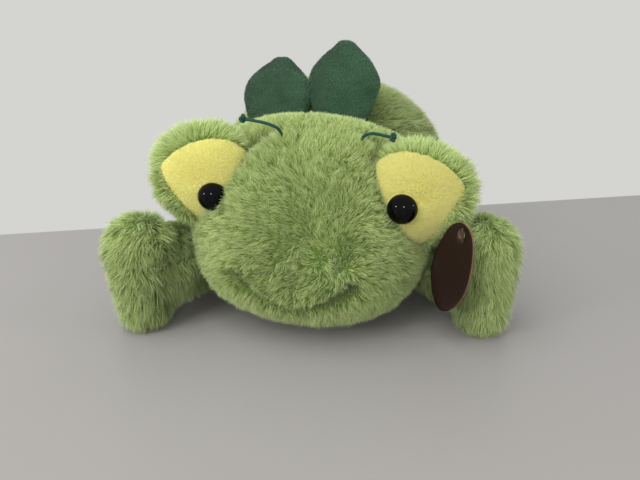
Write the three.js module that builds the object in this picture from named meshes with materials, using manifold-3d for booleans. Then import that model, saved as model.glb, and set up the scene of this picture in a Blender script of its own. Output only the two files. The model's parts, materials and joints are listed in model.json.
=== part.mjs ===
// Plush praying mantis lying on its belly with its chin and both paws on the ground.
// Millimetres, +Z up. It looks along -Y, so its own left side is +X.
// The origin is on the ground, in the middle of the belly's resting face.
import * as THREE from 'three';
import { mergeVertices } from 'three/addons/utils/BufferGeometryUtils.js';
import Module from 'manifold-3d';

const wasm = await Module();
wasm.setup();

// Fabric and clearances
const seamGap = 0.3; // between pieces that are sewn or pressed together
const furWall = 4; // backing cloth and matted pile of a fur cover
const lobeWall = 3; // panels of an eye lobe
const wingWall = 1.6; // short-pile cloth of a wing
const restCut = 0.5; // depth to which a form is pressed flat by the ground

// Body
const bodyWidth = 162;
const bodyLength = 178;
const bodyHeight = 132;
const bodySquareness = 2.25; // 2 is an ellipse, more is boxier
const bodyTaper = 0.06; // how much wider the rear is than the middle

// Head
const headWidth = 143;
const headHeight = 113;
const headSquareness = 2.35;
const headCentreY = -104; // nod axis, measured from the middle of the body
const muzzleReach = 64; // from the nod axis to the nose
const muzzleDroop = 0.36; // how much further the chin reaches than the middle of the face
const muzzleTaper = 0.2; // how much narrower the face is at the nose
const cheekSwell = 0.24; // how much less the cheeks narrow, and how much more the brow does
const neckOpening = 36; // hole in the back of the head cover
const neckGap = 0.9; // play between the head and the dish in the body that it nods in
const headRoll = 4; // degrees that the head is tipped to its left

// Mouth, as a smile on the front of the head
const smileWidth = 63;
const smileHeight = 15; // rise from the middle of the smile to its corners
const smileDrop = 32; // middle of the smile below the nod axis
const smileThread = 1.4;
const smileGroove = 4.4; // diameter of the channel that the thread is pulled into
const smileTuck = 1.2; // length of the channel beyond each end of the thread

// Eye lobes
const lobeWidth = 0.385 * headWidth;
const lobeDepth = 0.656 * muzzleReach;
const lobeHeight = 0.487 * headHeight;
const lobeSquareness = 2.2;
const lobeTaper = 0.2; // how much narrower the lower end is
const lobeOffset = new THREE.Vector3(0.4126 * headWidth, -0.36 * muzzleReach, 0.2035 * headHeight);
const lobeRimY = -5; // seam between the front patch and the fur, from the lobe's middle
const lobeRimTilt = { left: 20, right: 30 }; // degrees that the seam comes forward at the top, as an eyelid
const lobeRimTurn = { left: 10, right: 15 }; // degrees that the seam comes forward at the outer side
const lobeLean = 14; // degrees that the lobe's top leans outwards

// Safety eyes
const eyeDiameter = 15.5;
const eyeDome = 6.2;
const eyeAim = {
  left: new THREE.Vector3(-0.25, -0.85, -0.21),
  right: new THREE.Vector3(-0.31, -0.83, -0.37),
}; // from the lobe's middle, outwards is positive
const eyeSink = 1.2; // how far the eye is pulled into the patch
const shankDiameter = 3;
const shankLength = 9;
const washerDiameter = 8;
const washerThickness = 1.2;
const washerSlack = 1.6; // folds of cloth between the patch and the washer

// Antennae, as routes from the middle of the head
const antennaDiameter = 1.8;
const antennaRoute = {
  left: [[23, -18, 34], [24.5, -22, 44], [26.5, -25, 50], [30, -26.5, 52.4], [34.5, -27.5, 52.6], [39, -28, 52]],
  right: [[-15, -20, 36], [-15.5, -24, 45], [-17.5, -27, 50.6], [-22, -28, 52.8], [-28, -27.5, 53.8], [-34.5, -26, 54.2]],
};
const knotDiameter = 4.6;
const knotLength = 5.6;
const knotFacets = [10, 6];

// Arms, each posed by itself
const shoulderY = -38; // measured from the middle of the body
const shoulderHeight = 22;
const shoulderSwing = 15; // degrees outwards
const elbowSpread = { left: 95.5, right: 88 };
const elbowY = { left: -132, right: -152 }; // measured from the middle of the body
const elbowHeight = 0.416 * headHeight;
const elbowDiameter = 34;
const elbowGap = 0.8; // play around the elbow's ball
const elbowSwing = 25; // degrees that the paw swings outwards
const armDip = 15; // how far below the elbow's middle the upper arm meets the forearm
const armSetback = 0.55 * elbowDiameter; // from the forearm's middle line back to the upper arm's end
const upperArmDiameter = 37;
const forearmDiameter = 27;
const pawDiameter = 26;
const pawSpread = { left: 98, right: 88 };
const armOpening = 16; // hole that joins the forearm's inside to the upper arm

// Wings
const wingWidth = 42;
const wingLength = 53;
const wingThickness = 17;
const wingSpread = { left: 13.5, right: 29 }; // the pair is sewn a little to the right
const wingY = -71; // hinge line, measured from the middle of the body
const wingRoot = 9; // length of the wing below its hinge line
const wingSeat = 5.4; // hinge line above the body's back
const wingLean = { left: 20, right: 28 }; // degrees backwards from upright
const wingFlap = [-8, 10]; // degrees, backwards is positive
const wingRootShare = 0.66; // share of the half width at the sewn edge
const wingLeaf = [[0, 0.86], [0.33, 1], [0.66, 0.8], [1, 0.1]]; // shares of the height and of the half width
const wingTip = 1; // length of the leaf's rounded tip

// Hang tag and its pin
const tagWidth = 27;
const tagLength = 49;
const tagThickness = 1;
const tagHole = 5;
const tagHoleInset = 5.5; // hole centre from the card's edge
const tagFacing = -55; // degrees about Z, 0 faces along -Y
const tagLean = 10; // degrees that the card's lower end leans to the right
const pinAim = new THREE.Vector3(0.86, -0.12, -0.34); // from the lobe's middle
const pinStride = new THREE.Vector3(0, -26, 4); // from the lobe's seam to the tag's hole
const pinDiameter = 1;
const pinBarDiameter = 1.2;
const pinBarLength = 7;
const pinPast = 3; // strand beyond the card

// Finishes
const furGreen = { color: 0x9cba68, roughness: 0.95, metalness: 0 };
const patchYellow = { color: 0xe6da7e, roughness: 0.9, metalness: 0 };
const wingGreen = { color: 0x43694a, roughness: 0.85, metalness: 0 };
const cordGreen = { color: 0x0d4034, roughness: 0.7, metalness: 0 };
const eyeBlack = { color: 0x060606, roughness: 0.08, metalness: 0 };
const washerWhite = { color: 0xe8e8e4, roughness: 0.5, metalness: 0 };
const stuffingWhite = { color: 0xf4f3ee, roughness: 1, metalness: 0 };
const tagBrown = { color: 0x4c2418, roughness: 0.55, metalness: 0 };
const pinClear = { color: 0xdedede, roughness: 0.3, metalness: 0 };

// Facets of the forms: sides around, rings from pole to pole
const bodyFacets = [26, 16];
const headFacets = [26, 16];
const lobeFacets = [18, 12];
const limbFacets = [14, 8];
const wingFacets = [16, 10];
const insideFacets = [11, 7];
const rodFacets = 10;
const cordFacets = 8;

const radians = THREE.MathUtils.degToRad;
const axisX = new THREE.Vector3(1, 0, 0);
const axisY = new THREE.Vector3(0, 1, 0);
const axisZ = new THREE.Vector3(0, 0, 1);
const sideSign = { left: 1, right: -1 };
const sideNames = Object.keys(sideSign);

// Solids and meshes

// Turn a closed geometry into a solid that can be cut and joined.
function solid(geometry) {
  const bare = geometry.clone();
  bare.deleteAttribute('normal');
  bare.deleteAttribute('uv');
  const merged = mergeVertices(bare);
  const vertProperties = new Float32Array(merged.attributes.position.array);
  const triVerts = new Uint32Array(merged.index.array);
  return new wasm.Manifold(new wasm.Mesh({ numProp: 3, vertProperties, triVerts }));
}

function geometryOf(cutSolid) {
  const { vertProperties, triVerts } = cutSolid.getMesh();
  const geometry = new THREE.BufferGeometry();
  geometry.setAttribute('position', new THREE.BufferAttribute(new Float32Array(vertProperties), 3));
  geometry.setIndex(new THREE.BufferAttribute(new Uint32Array(triVerts), 1));
  return geometry;
}

// A named mesh with flat faces, from a geometry or from a solid.
function meshOf(name, shape, finish) {
  const geometry = shape.isBufferGeometry ? shape : geometryOf(shape);
  const flat = geometry.index ? geometry.toNonIndexed() : geometry;
  flat.computeVertexNormals();
  const mesh = new THREE.Mesh(flat, new THREE.MeshStandardMaterial(finish));
  mesh.name = name;
  return mesh;
}

function groupAt(position, quaternion, ...children) {
  const group = new THREE.Group();
  group.position.copy(position);
  group.quaternion.copy(quaternion);
  group.add(...children);
  return group;
}

function turnAbout(axis, degrees) {
  return new THREE.Quaternion().setFromAxisAngle(axis, radians(degrees));
}

// Turn a geometry about its own origin, then carry it to a place.
function placed(geometry, position, quaternion = new THREE.Quaternion()) {
  return geometry.applyQuaternion(quaternion).translate(position.x, position.y, position.z);
}

function joined(solids) {
  return solids.reduce((whole, next) => whole.add(next));
}

// Basic shapes

// Everything on one side of a plane, as a block whose top lies at a height.
function blockBelow(height) {
  const size = 600;
  return new THREE.BoxGeometry(size, size, size).translate(0, 0, height - size / 2);
}

// A straight round rod from one point to another.
function rod(from, to, diameter, facets = rodFacets) {
  const geometry = new THREE.CylinderGeometry(diameter / 2, diameter / 2, from.distanceTo(to), facets);
  const turn = new THREE.Quaternion().setFromUnitVectors(axisY, to.clone().sub(from).normalize());
  return placed(geometry, from.clone().lerp(to, 0.5), turn);
}

// A round tube along a curve, with closed ends.
function tubeAlong(curve, diameter, steps) {
  const section = new THREE.Shape();
  for (let i = 0; i < cordFacets; i += 1) {
    const angle = (i / cordFacets) * 2 * Math.PI;
    const corner = [(Math.cos(angle) * diameter) / 2, (Math.sin(angle) * diameter) / 2];
    if (i === 0) {
      section.moveTo(...corner);
    } else {
      section.lineTo(...corner);
    }
  }
  return new THREE.ExtrudeGeometry(section, { steps, extrudePath: curve, curveSegments: 1 });
}

// Stuffed forms: a sphere swollen to three half sizes, boxier or rounder, and tapered.
// A form's half sizes may change over its unit shape, and its pole is the axis it is round about.

function formPoint(form, direction, offset = 0) {
  const along = Math.abs(direction[form.pole]);
  const around = Math.sqrt(Math.max(direction.lengthSq() - along * along, 0));
  const power = form.squareness;
  const reach = (along ** power + around ** power) ** (-1 / power);
  const point = direction.clone().multiplyScalar(reach);
  const half = form.half(point);
  return half.addScalar(offset).multiply(point);
}

// Outward normal of a form where a direction meets its skin.
function formNormal(form, direction) {
  const step = 0.01;
  const unit = direction.clone().normalize();
  const across = new THREE.Vector3().crossVectors(unit, axisZ).normalize();
  const upright = new THREE.Vector3().crossVectors(across, unit);
  const centre = formPoint(form, unit);
  const sideways = formPoint(form, unit.clone().addScaledVector(across, step)).sub(centre);
  const upwards = formPoint(form, unit.clone().addScaledVector(upright, step)).sub(centre);
  return new THREE.Vector3().crossVectors(upwards, sideways).normalize();
}

function formGeometry(form, offset, [around, along]) {
  const geometry = new THREE.SphereGeometry(1, around, along);
  if (form.pole === 'x') {
    geometry.rotateZ(-Math.PI / 2);
  }
  const position = geometry.attributes.position;
  const direction = new THREE.Vector3();
  for (let i = 0; i < position.count; i += 1) {
    direction.fromBufferAttribute(position, i);
    const point = formPoint(form, direction, offset);
    position.setXYZ(i, point.x, point.y, point.z);
  }
  return geometry;
}

// Body

const bodyForm = {
  pole: 'y',
  squareness: bodySquareness,
  half: (point) => {
    const width = (bodyWidth / 2) * (1 + bodyTaper * point.y);
    return new THREE.Vector3(width, bodyLength / 2, bodyHeight / 2);
  },
};
const bodyCentre = new THREE.Vector3(0, 0, bodyHeight / 2 - restCut);

function bodyGeometry(offset, facets) {
  return placed(formGeometry(bodyForm, offset, facets), bodyCentre);
}

// Share of the body's full girth that is left at a place along its length.
function bodyGirth(y) {
  const along = Math.abs(y) / (bodyLength / 2);
  return (1 - along ** bodySquareness) ** (1 / bodySquareness);
}

function bodyHalfWidth(y) {
  return (bodyWidth / 2) * (1 + (bodyTaper * y) / (bodyLength / 2));
}

// Height of the body's back at a place seen from above.
function bodyTop(x, y) {
  const sideways = x / bodyHalfWidth(y);
  return bodyCentre.z + (bodyHeight / 2) * Math.sqrt(bodyGirth(y) ** 2 - sideways ** 2);
}

// Distance of the body's flank from the middle plane at a place seen from the side.
function bodyFlank(y, height) {
  const upwards = (height - bodyCentre.z) / (bodyHeight / 2);
  return bodyHalfWidth(y) * Math.sqrt(bodyGirth(y) ** 2 - upwards ** 2);
}

// Head: round about its nod axis at the back, drawn out to the muzzle in front

// Share of the head's width that is lost towards the nose, least at the cheeks.
function faceNarrowing(forwards, upwards) {
  return Math.max(forwards, 0) * (muzzleTaper + cheekSwell * upwards);
}

const headForm = {
  pole: 'x',
  squareness: headSquareness,
  half: (point) => {
    const width = (headWidth / 2) * (1 - faceNarrowing(-point.y, point.z));
    const depth = point.y < 0 ? muzzleReach * (1 - muzzleDroop * point.z) : headHeight / 2;
    return new THREE.Vector3(width, depth, headHeight / 2);
  },
};
const headCentre = new THREE.Vector3(0, headCentreY, headHeight / 2 - restCut);
const headTurn = turnAbout(axisY, headRoll);

function headSolid(offset, facets = headFacets) {
  return solid(formGeometry(headForm, offset, facets));
}

// The head where it sits in the whole toy, to cut its neighbours.
function seatedHead(offset) {
  return placed(formGeometry(headForm, offset, headFacets), headCentre, headTurn);
}

// Point of the face straight in front of a place on the head's middle plane.
function facePoint(x, z) {
  const upwards = z / (headHeight / 2);
  const halvings = 30;
  let near = 0;
  let far = 1;
  for (let i = 0; i < halvings; i += 1) {
    const forwards = (near + far) / 2;
    const sideways = Math.abs(x) / ((headWidth / 2) * (1 - faceNarrowing(forwards, upwards)));
    const around = Math.hypot(forwards, upwards);
    if (sideways ** headSquareness + around ** headSquareness < 1) {
      near = forwards;
    } else {
      far = forwards;
    }
  }
  return new THREE.Vector3(x, -near * muzzleReach * (1 - muzzleDroop * upwards), z);
}

// The smile follows the face, sunk into it by a depth and drawn out beyond its corners.
function smileCurve(depth, beyond = 0) {
  const count = 11;
  const points = [];
  for (let i = 0; i < count; i += 1) {
    const across = ((i / (count - 1)) * 2 - 1) * (1 + (2 * beyond) / smileWidth);
    const skin = facePoint((across * smileWidth) / 2, -smileDrop + smileHeight * across * across);
    const inwards = skin.clone().normalize().multiplyScalar(-depth);
    points.push(skin.add(inwards));
  }
  return new THREE.CatmullRomCurve3(points);
}

const smileSteps = 16;

function mouthStitch() {
  const depth = (smileGroove - smileThread) / 2 - seamGap;
  return tubeAlong(smileCurve(depth), smileThread, smileSteps);
}

function antennaCurve(name) {
  return new THREE.CatmullRomCurve3(antennaRoute[name].map((point) => new THREE.Vector3(...point)));
}

const antennaSteps = 14;

// Room for the roots of both antennae, from a little inside of them.
function antennaHoles() {
  return sideNames.map((name) => {
    const curve = antennaCurve(name);
    const root = curve.getPointAt(0).addScaledVector(curve.getTangentAt(0), -seamGap);
    const longer = new THREE.CatmullRomCurve3([root, ...curve.points]);
    return solid(tubeAlong(longer, antennaDiameter + 2 * seamGap, antennaSteps));
  });
}

function headCover() {
  const middle = new THREE.Vector3();
  const behind = new THREE.Vector3(0, headHeight, 0);
  const openings = [
    headSolid(-furWall, insideFacets),
    solid(rod(middle, behind, neckOpening, insideFacets[0])),
    solid(tubeAlong(smileCurve(0, smileTuck), smileGroove, smileSteps)),
    solid(placed(blockBelow(-headCentre.z), middle, headTurn.clone().invert())),
  ];
  return headSolid(0).subtract(joined([...openings, ...antennaHoles()]));
}

function headStuffing() {
  return headSolid(-furWall - seamGap, insideFacets).subtract(joined(antennaHoles()));
}

// Eye lobes, in the head's frame

const lobeForm = {
  pole: 'y',
  squareness: lobeSquareness,
  half: (point) => {
    const width = (lobeWidth / 2) * (1 + lobeTaper * point.z);
    return new THREE.Vector3(width, lobeDepth / 2, lobeHeight / 2);
  },
};

function mirrored(vector, name) {
  return new THREE.Vector3(sideSign[name] * vector.x, vector.y, vector.z);
}

function onLobe(geometry, name) {
  return placed(geometry, mirrored(lobeOffset, name), turnAbout(axisY, sideSign[name] * lobeLean));
}

function lobeSolid(name, offset, facets = lobeFacets) {
  return solid(onLobe(formGeometry(lobeForm, offset, facets), name));
}

// Point and normal of a lobe's skin where an aim from its middle meets it.
function lobeSpot(name, aim) {
  const turn = turnAbout(axisY, sideSign[name] * lobeLean);
  const direction = mirrored(aim, name);
  const point = formPoint(lobeForm, direction).applyQuaternion(turn).add(mirrored(lobeOffset, name));
  const normal = formNormal(lobeForm, direction).applyQuaternion(turn);
  return { point, normal };
}

// Everything in front of a plane across the lobe's rim.
function blockBeforeRim(name, y) {
  const block = blockBelow(0).rotateX(radians(lobeRimTilt[name]) - Math.PI / 2);
  block.rotateZ(-sideSign[name] * radians(lobeRimTurn[name]));
  return solid(onLobe(block.translate(0, y, 0), name));
}

function lobeShell(name) {
  return lobeSolid(name, 0)
    .subtract(lobeSolid(name, -lobeWall, insideFacets))
    .subtract(headSolid(seamGap));
}

function eyeLobe(name) {
  const cover = lobeShell(name).subtract(blockBeforeRim(name, lobeRimY + seamGap / 2));
  return name === pinSide ? cover.subtract(pinPassage()) : cover;
}

function eyePatch(name) {
  const panel = lobeShell(name)
    .intersect(blockBeforeRim(name, lobeRimY - seamGap / 2))
    .subtract(shankSolid(name, seamGap));
  return name === pinSide ? panel.subtract(pinPassage()) : panel;
}

function lobeStuffing(name) {
  const filling = lobeSolid(name, -lobeWall - seamGap, insideFacets)
    .subtract(headSolid(seamGap))
    .subtract(washerPocket(name));
  return name === pinSide ? filling.subtract(pinPassage()) : filling;
}

// Safety eyes: a dome pulled into the patch, a shank through it and a washer behind it

function shankSolid(name, clearance) {
  const { point, normal } = lobeSpot(name, eyeAim[name]);
  const front = point.clone().addScaledVector(normal, eyeDome / 2);
  const end = point.clone().addScaledVector(normal, -shankLength - clearance);
  return solid(rod(front, end, shankDiameter + 2 * clearance));
}

function eye(name) {
  const { point, normal } = lobeSpot(name, eyeAim[name]);
  const radius = eyeDiameter / 2;
  const steps = 6;
  const outline = [new THREE.Vector2(0, -eyeSink), new THREE.Vector2(radius, -eyeSink)];
  for (let i = 0; i < steps; i += 1) {
    const angle = ((i / steps) * Math.PI) / 2;
    outline.push(new THREE.Vector2(radius * Math.cos(angle), eyeDome * Math.sin(angle)));
  }
  outline.push(new THREE.Vector2(0, eyeDome));
  const facets = 20;
  const turn = new THREE.Quaternion().setFromUnitVectors(axisY, normal);
  const dome = solid(placed(new THREE.LatheGeometry(outline, facets), point, turn));
  return dome
    .subtract(lobeSolid(name, seamGap))
    .add(shankSolid(name, 0))
    .subtract(headSolid(seamGap));
}

// Front and back of the washer. It stands off the middle of the patch's hollow inside.
function washerSeat(name) {
  const { point, normal } = lobeSpot(name, eyeAim[name]);
  const bend = (washerDiameter / 2) ** 2 / lobeDepth;
  const front = point.clone().addScaledVector(normal, -lobeWall - bend - washerSlack);
  const back = front.clone().addScaledVector(normal, -washerThickness);
  return { front, back, normal };
}

function eyeWasher(name) {
  const { front, back } = washerSeat(name);
  return solid(rod(front, back, washerDiameter, 2 * rodFacets))
    .subtract(shankSolid(name, seamGap))
    .subtract(headSolid(seamGap));
}

function washerPocket(name) {
  const { front, back, normal } = washerSeat(name);
  const mouth = front.clone().addScaledVector(normal, lobeWall);
  const floor = back.clone().addScaledVector(normal, -seamGap);
  const room = rod(mouth, floor, washerDiameter + 2 * seamGap, 2 * rodFacets);
  return solid(room).add(shankSolid(name, seamGap));
}

// Hang tag and its pin, on the left lobe

const pinSide = 'left';
const tagTurn = turnAbout(axisZ, tagFacing).multiply(turnAbout(axisY, tagLean));

// The pin's strand: its bar inside the lobe, the tag's hole, and its bar outside the card.
function pinLine() {
  const { point } = lobeSpot(pinSide, pinAim);
  const hole = point.clone().add(pinStride);
  const strand = pinStride.clone().normalize();
  const inner = point.clone().addScaledVector(strand, -lobeWall - pinBarDiameter);
  const outer = hole.clone().addScaledVector(strand, pinPast);
  const facing = new THREE.Vector3(0, -1, 0).applyQuaternion(tagTurn);
  const across = new THREE.Vector3().crossVectors(strand, facing).normalize();
  return { hole, inner, outer, across };
}

function pinBar(centre, across, clearance) {
  const reach = pinBarLength / 2 + clearance;
  const from = centre.clone().addScaledVector(across, -reach);
  const to = centre.clone().addScaledVector(across, reach);
  return solid(rod(from, to, pinBarDiameter + 2 * clearance));
}

function tagPin() {
  const { inner, outer, across } = pinLine();
  return solid(rod(inner, outer, pinDiameter)).add(pinBar(inner, across, 0)).add(pinBar(outer, across, 0));
}

// Room for the pin through the lobe's cover and stuffing.
function pinPassage() {
  const { inner, hole, across } = pinLine();
  return solid(rod(inner, hole, pinDiameter + 2 * seamGap)).add(pinBar(inner, across, seamGap));
}

// The card lies in its own XZ plane with the hole at its origin, and hangs down.
function hangTag() {
  const curveSegments = 16;
  const outline = new THREE.Shape();
  outline.absellipse(0, tagHoleInset - tagLength / 2, tagWidth / 2, tagLength / 2, 0, 2 * Math.PI);
  const hole = new THREE.Path();
  hole.absarc(0, 0, tagHole / 2, 0, 2 * Math.PI);
  outline.holes.push(hole);
  const card = new THREE.ExtrudeGeometry(outline, { depth: tagThickness, bevelEnabled: false, curveSegments });
  return card.translate(0, 0, -tagThickness / 2).rotateX(Math.PI / 2);
}

// Arms

function shoulder(name) {
  const flank = bodyFlank(shoulderY, shoulderHeight);
  return new THREE.Vector3(sideSign[name] * flank, shoulderY, shoulderHeight);
}

function elbow(name) {
  return new THREE.Vector3(sideSign[name] * elbowSpread[name], elbowY[name], elbowHeight);
}

// Where the upper arm's middle line meets the forearm.
function armMeeting(name) {
  return elbow(name).setZ(elbowHeight - armDip);
}

function pawTip(name) {
  return new THREE.Vector3(sideSign[name] * pawSpread[name], elbowY[name], -restCut);
}

// A limb turned along the line between two points, from an outline of distance and radius.
function limbSolid(outline, from, to, facets) {
  const points = outline.map(([distance, radius]) => new THREE.Vector2(radius, distance));
  const turn = new THREE.Quaternion().setFromUnitVectors(axisY, to.clone().sub(from).normalize());
  return solid(placed(new THREE.LatheGeometry(points, facets[0]), from, turn));
}

// Stations of a smooth line through a few chosen ones.
function smoothLine(stations, count) {
  const line = new THREE.SplineCurve(stations.map(([distance, radius]) => new THREE.Vector2(distance, radius)));
  return line.getPoints(count).map((point) => [point.x, point.y]);
}

// A round end: stations of a quarter circle that starts or ends on the limb's axis.
function roundEnd(centre, radius, direction, count) {
  const stations = [];
  for (let i = 0; i < count; i += 1) {
    const angle = ((i / count) * Math.PI) / 2;
    stations.push([centre + direction * radius * Math.cos(angle), radius * Math.sin(angle)]);
  }
  return direction < 0 ? stations : stations.reverse();
}

function upperArmForm(name, offset, facets) {
  const from = shoulder(name);
  const meeting = armMeeting(name);
  const to = from.clone().sub(meeting).setLength(armSetback).add(meeting);
  const length = from.distanceTo(to);
  const radius = upperArmDiameter / 2 + offset;
  const endSteps = 3;
  const swell = 1.15; // the arm is thicker at both ends than in the middle
  const outline = [
    ...roundEnd(0, radius * swell, -1, endSteps),
    ...smoothLine([[0, radius * swell], [length / 2, radius], [length, radius * swell]], facets[1]),
    ...roundEnd(length, radius * swell, 1, endSteps),
  ];
  return limbSolid(outline, from, to, facets);
}

function elbowBall(name, offset) {
  const facets = [16, 10];
  return solid(placed(new THREE.SphereGeometry(elbowDiameter / 2 + offset, ...facets), elbow(name)));
}

// The body as the arm meets it at both ends of the shoulder's swing.
function bodyBesideArm(name) {
  const pivot = shoulder(name);
  const bodies = [0, shoulderSwing].map((angle) => {
    const swing = turnAbout(axisZ, -sideSign[name] * angle);
    const geometry = bodyGeometry(seamGap, bodyFacets).translate(-pivot.x, -pivot.y, -pivot.z);
    return solid(placed(geometry, pivot, swing));
  });
  return joined(bodies);
}

// The forearm as the upper arm meets it through the elbow's swing.
function forearmBesideArm(name) {
  const pivot = elbow(name);
  const forearms = [0, elbowSwing / 2, elbowSwing].map((angle) => {
    const swing = turnAbout(axisY, -sideSign[name] * angle);
    const geometry = geometryOf(forearmForm(name, elbowGap, limbFacets));
    return solid(placed(geometry.translate(-pivot.x, -pivot.y, -pivot.z), pivot, swing));
  });
  return joined([elbowBall(name, elbowGap), ...forearms]);
}

function armSurroundings(name) {
  return joined([forearmBesideArm(name), bodyBesideArm(name), solid(seatedHead(neckGap))]);
}

function upperArm(name) {
  return upperArmForm(name, 0, limbFacets)
    .subtract(upperArmForm(name, -furWall, insideFacets))
    .subtract(armSurroundings(name));
}

function upperArmStuffing(name) {
  return upperArmForm(name, -furWall - seamGap, insideFacets).subtract(armSurroundings(name));
}

// The forearm hangs from a ball at the elbow and ends in a round paw.
function forearmForm(name, offset, facets) {
  const from = elbow(name);
  const to = pawTip(name);
  const length = from.distanceTo(to);
  const ball = elbowDiameter / 2 + offset;
  const shaft = forearmDiameter / 2 + offset;
  const paw = pawDiameter / 2 + offset;
  const pawCentre = length - pawDiameter / 2;
  const ballSteps = 4;
  const leave = 0.45; // share of the ball's radius below its middle where the shaft takes over
  const outline = [
    ...roundEnd(0, ball, -1, ballSteps),
    [0, ball],
    [ball * leave, ball * Math.sqrt(1 - leave * leave)],
    ...smoothLine([[(ball + pawCentre) / 2, shaft], [pawCentre, paw]], 2),
    ...roundEnd(pawCentre, paw, 1, ballSteps),
  ];
  return limbSolid(outline, from, to, facets);
}

function forearm(name) {
  const opening = solid(rod(armMeeting(name), shoulder(name), armOpening));
  return forearmForm(name, 0, limbFacets)
    .subtract(forearmForm(name, -furWall, insideFacets))
    .subtract(opening)
    .subtract(solid(blockBelow(0)));
}

// Wings, standing along +Z in their own frame, wide in X and thick in Y

function wingHinge(name) {
  const x = sideSign[name] * wingSpread[name];
  return new THREE.Vector3(x, wingY, bodyTop(x, wingY) + wingSeat);
}

function wingTurn(name) {
  return turnAbout(axisX, -wingLean[name]);
}

function wingGeometry(offset, facets) {
  const half = wingWidth / 2;
  const top = wingLength - wingRoot;
  const stations = wingLeaf.map(([height, width]) => [top * height, half * width]);
  const leaf = smoothLine([[-wingRoot, half * wingRootShare], ...stations], facets[1]);
  const outline = [[-wingRoot, 0], ...leaf, [top + wingTip, 0]];
  const points = outline.map(([height, radius]) => new THREE.Vector2(radius, height));
  const geometry = new THREE.LatheGeometry(points, facets[0]).rotateX(Math.PI / 2);
  const shrink = 1 + (2 * offset) / wingLength;
  return geometry.scale(1 + offset / half, (wingThickness / 2 + offset) / half, shrink);
}

// What the wing's root meets at both ends of its flap, in the wing's own frame.
function wingSurroundings(name) {
  const hinge = wingHinge(name);
  const upright = wingTurn(name).invert();
  const solids = [solid(blockBelow(wingWall - wingRoot))];
  for (const flap of wingFlap) {
    const turn = upright.clone().multiply(turnAbout(axisX, flap));
    for (const neighbour of [bodyGeometry(seamGap, bodyFacets), seatedHead(neckGap)]) {
      neighbour.translate(-hinge.x, -hinge.y, -hinge.z).applyQuaternion(turn);
      solids.push(solid(neighbour));
    }
  }
  return joined(solids);
}

function wingCover(name) {
  return solid(wingGeometry(0, wingFacets))
    .subtract(solid(wingGeometry(-wingWall, insideFacets)))
    .subtract(wingSurroundings(name));
}

function wingStuffing(name) {
  return solid(wingGeometry(-wingWall - seamGap, insideFacets)).subtract(wingSurroundings(name));
}

// Body cover and stuffing, dished in front for the head

function bodyCover() {
  return solid(bodyGeometry(0, bodyFacets))
    .subtract(solid(bodyGeometry(-furWall, insideFacets)))
    .subtract(solid(seatedHead(neckGap)))
    .subtract(solid(blockBelow(0)));
}

function bodyStuffing() {
  return solid(bodyGeometry(-furWall - seamGap, insideFacets)).subtract(solid(seatedHead(neckGap)));
}

// Assembly

function lobeMeshes(name) {
  return [
    meshOf(`${name}_eye_lobe`, eyeLobe(name), furGreen),
    meshOf(`${name}_eye_patch`, eyePatch(name), patchYellow),
    meshOf(`${name}_lobe_stuffing`, lobeStuffing(name), stuffingWhite),
    meshOf(`${name}_eye`, eye(name), eyeBlack),
    meshOf(`${name}_eye_washer`, eyeWasher(name), washerWhite),
  ];
}

function antennaMeshes(name) {
  const curve = antennaCurve(name);
  const away = curve.getTangentAt(1);
  const turn = new THREE.Quaternion().setFromUnitVectors(axisY, away);
  const centre = curve.getPointAt(1).addScaledVector(away, knotLength / 2 + seamGap);
  const knot = new THREE.SphereGeometry(0.5, ...knotFacets).scale(knotDiameter, knotLength, knotDiameter);
  return [
    meshOf(`${name}_antenna`, tubeAlong(curve, antennaDiameter, antennaSteps), cordGreen),
    meshOf(`${name}_antenna_knot`, placed(knot, centre, turn), cordGreen),
  ];
}

function armMeshes(name) {
  return [
    meshOf(`${name}_upper_arm`, upperArm(name), furGreen),
    meshOf(`${name}_upper_arm_stuffing`, upperArmStuffing(name), stuffingWhite),
    meshOf(`${name}_forearm`, forearm(name), furGreen),
    meshOf(`${name}_forearm_stuffing`, forearmForm(name, -furWall - seamGap, insideFacets), stuffingWhite),
  ];
}

function wingGroup(name) {
  return groupAt(
    wingHinge(name),
    wingTurn(name),
    meshOf(`${name}_wing`, wingCover(name), wingGreen),
    meshOf(`${name}_wing_stuffing`, wingStuffing(name), stuffingWhite),
  );
}

function headGroup() {
  return groupAt(
    headCentre,
    headTurn,
    meshOf('head_cover', headCover(), furGreen),
    meshOf('head_stuffing', headStuffing(), stuffingWhite),
    meshOf('mouth_stitch', mouthStitch(), cordGreen),
    ...sideNames.flatMap(lobeMeshes),
    ...sideNames.flatMap(antennaMeshes),
    meshOf('tag_pin', tagPin(), pinClear),
    groupAt(pinLine().hole, tagTurn, meshOf('hang_tag', hangTag(), tagBrown)),
  );
}

const mantis = new THREE.Group();
mantis.add(
  meshOf('body_cover', bodyCover(), furGreen),
  meshOf('body_stuffing', bodyStuffing(), stuffingWhite),
  headGroup(),
  ...sideNames.flatMap(armMeshes),
  ...sideNames.map(wingGroup),
);

export default mantis;
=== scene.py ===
"""Looks of a plush praying mantis that lies on its belly: fur, eyes, wings, cords, tag, light and camera.

Everything is in metres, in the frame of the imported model: +Z up, the toy looks along -Y, its own left is +X.
"""

from __future__ import annotations

import json
import logging
import math
from dataclasses import dataclass, field
from enum import Enum
from typing import Any, Callable, Optional, Sequence, Union

import bmesh
import bpy
import numpy as np
from mathutils import Matrix, Vector
from mathutils.kdtree import KDTree

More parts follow.
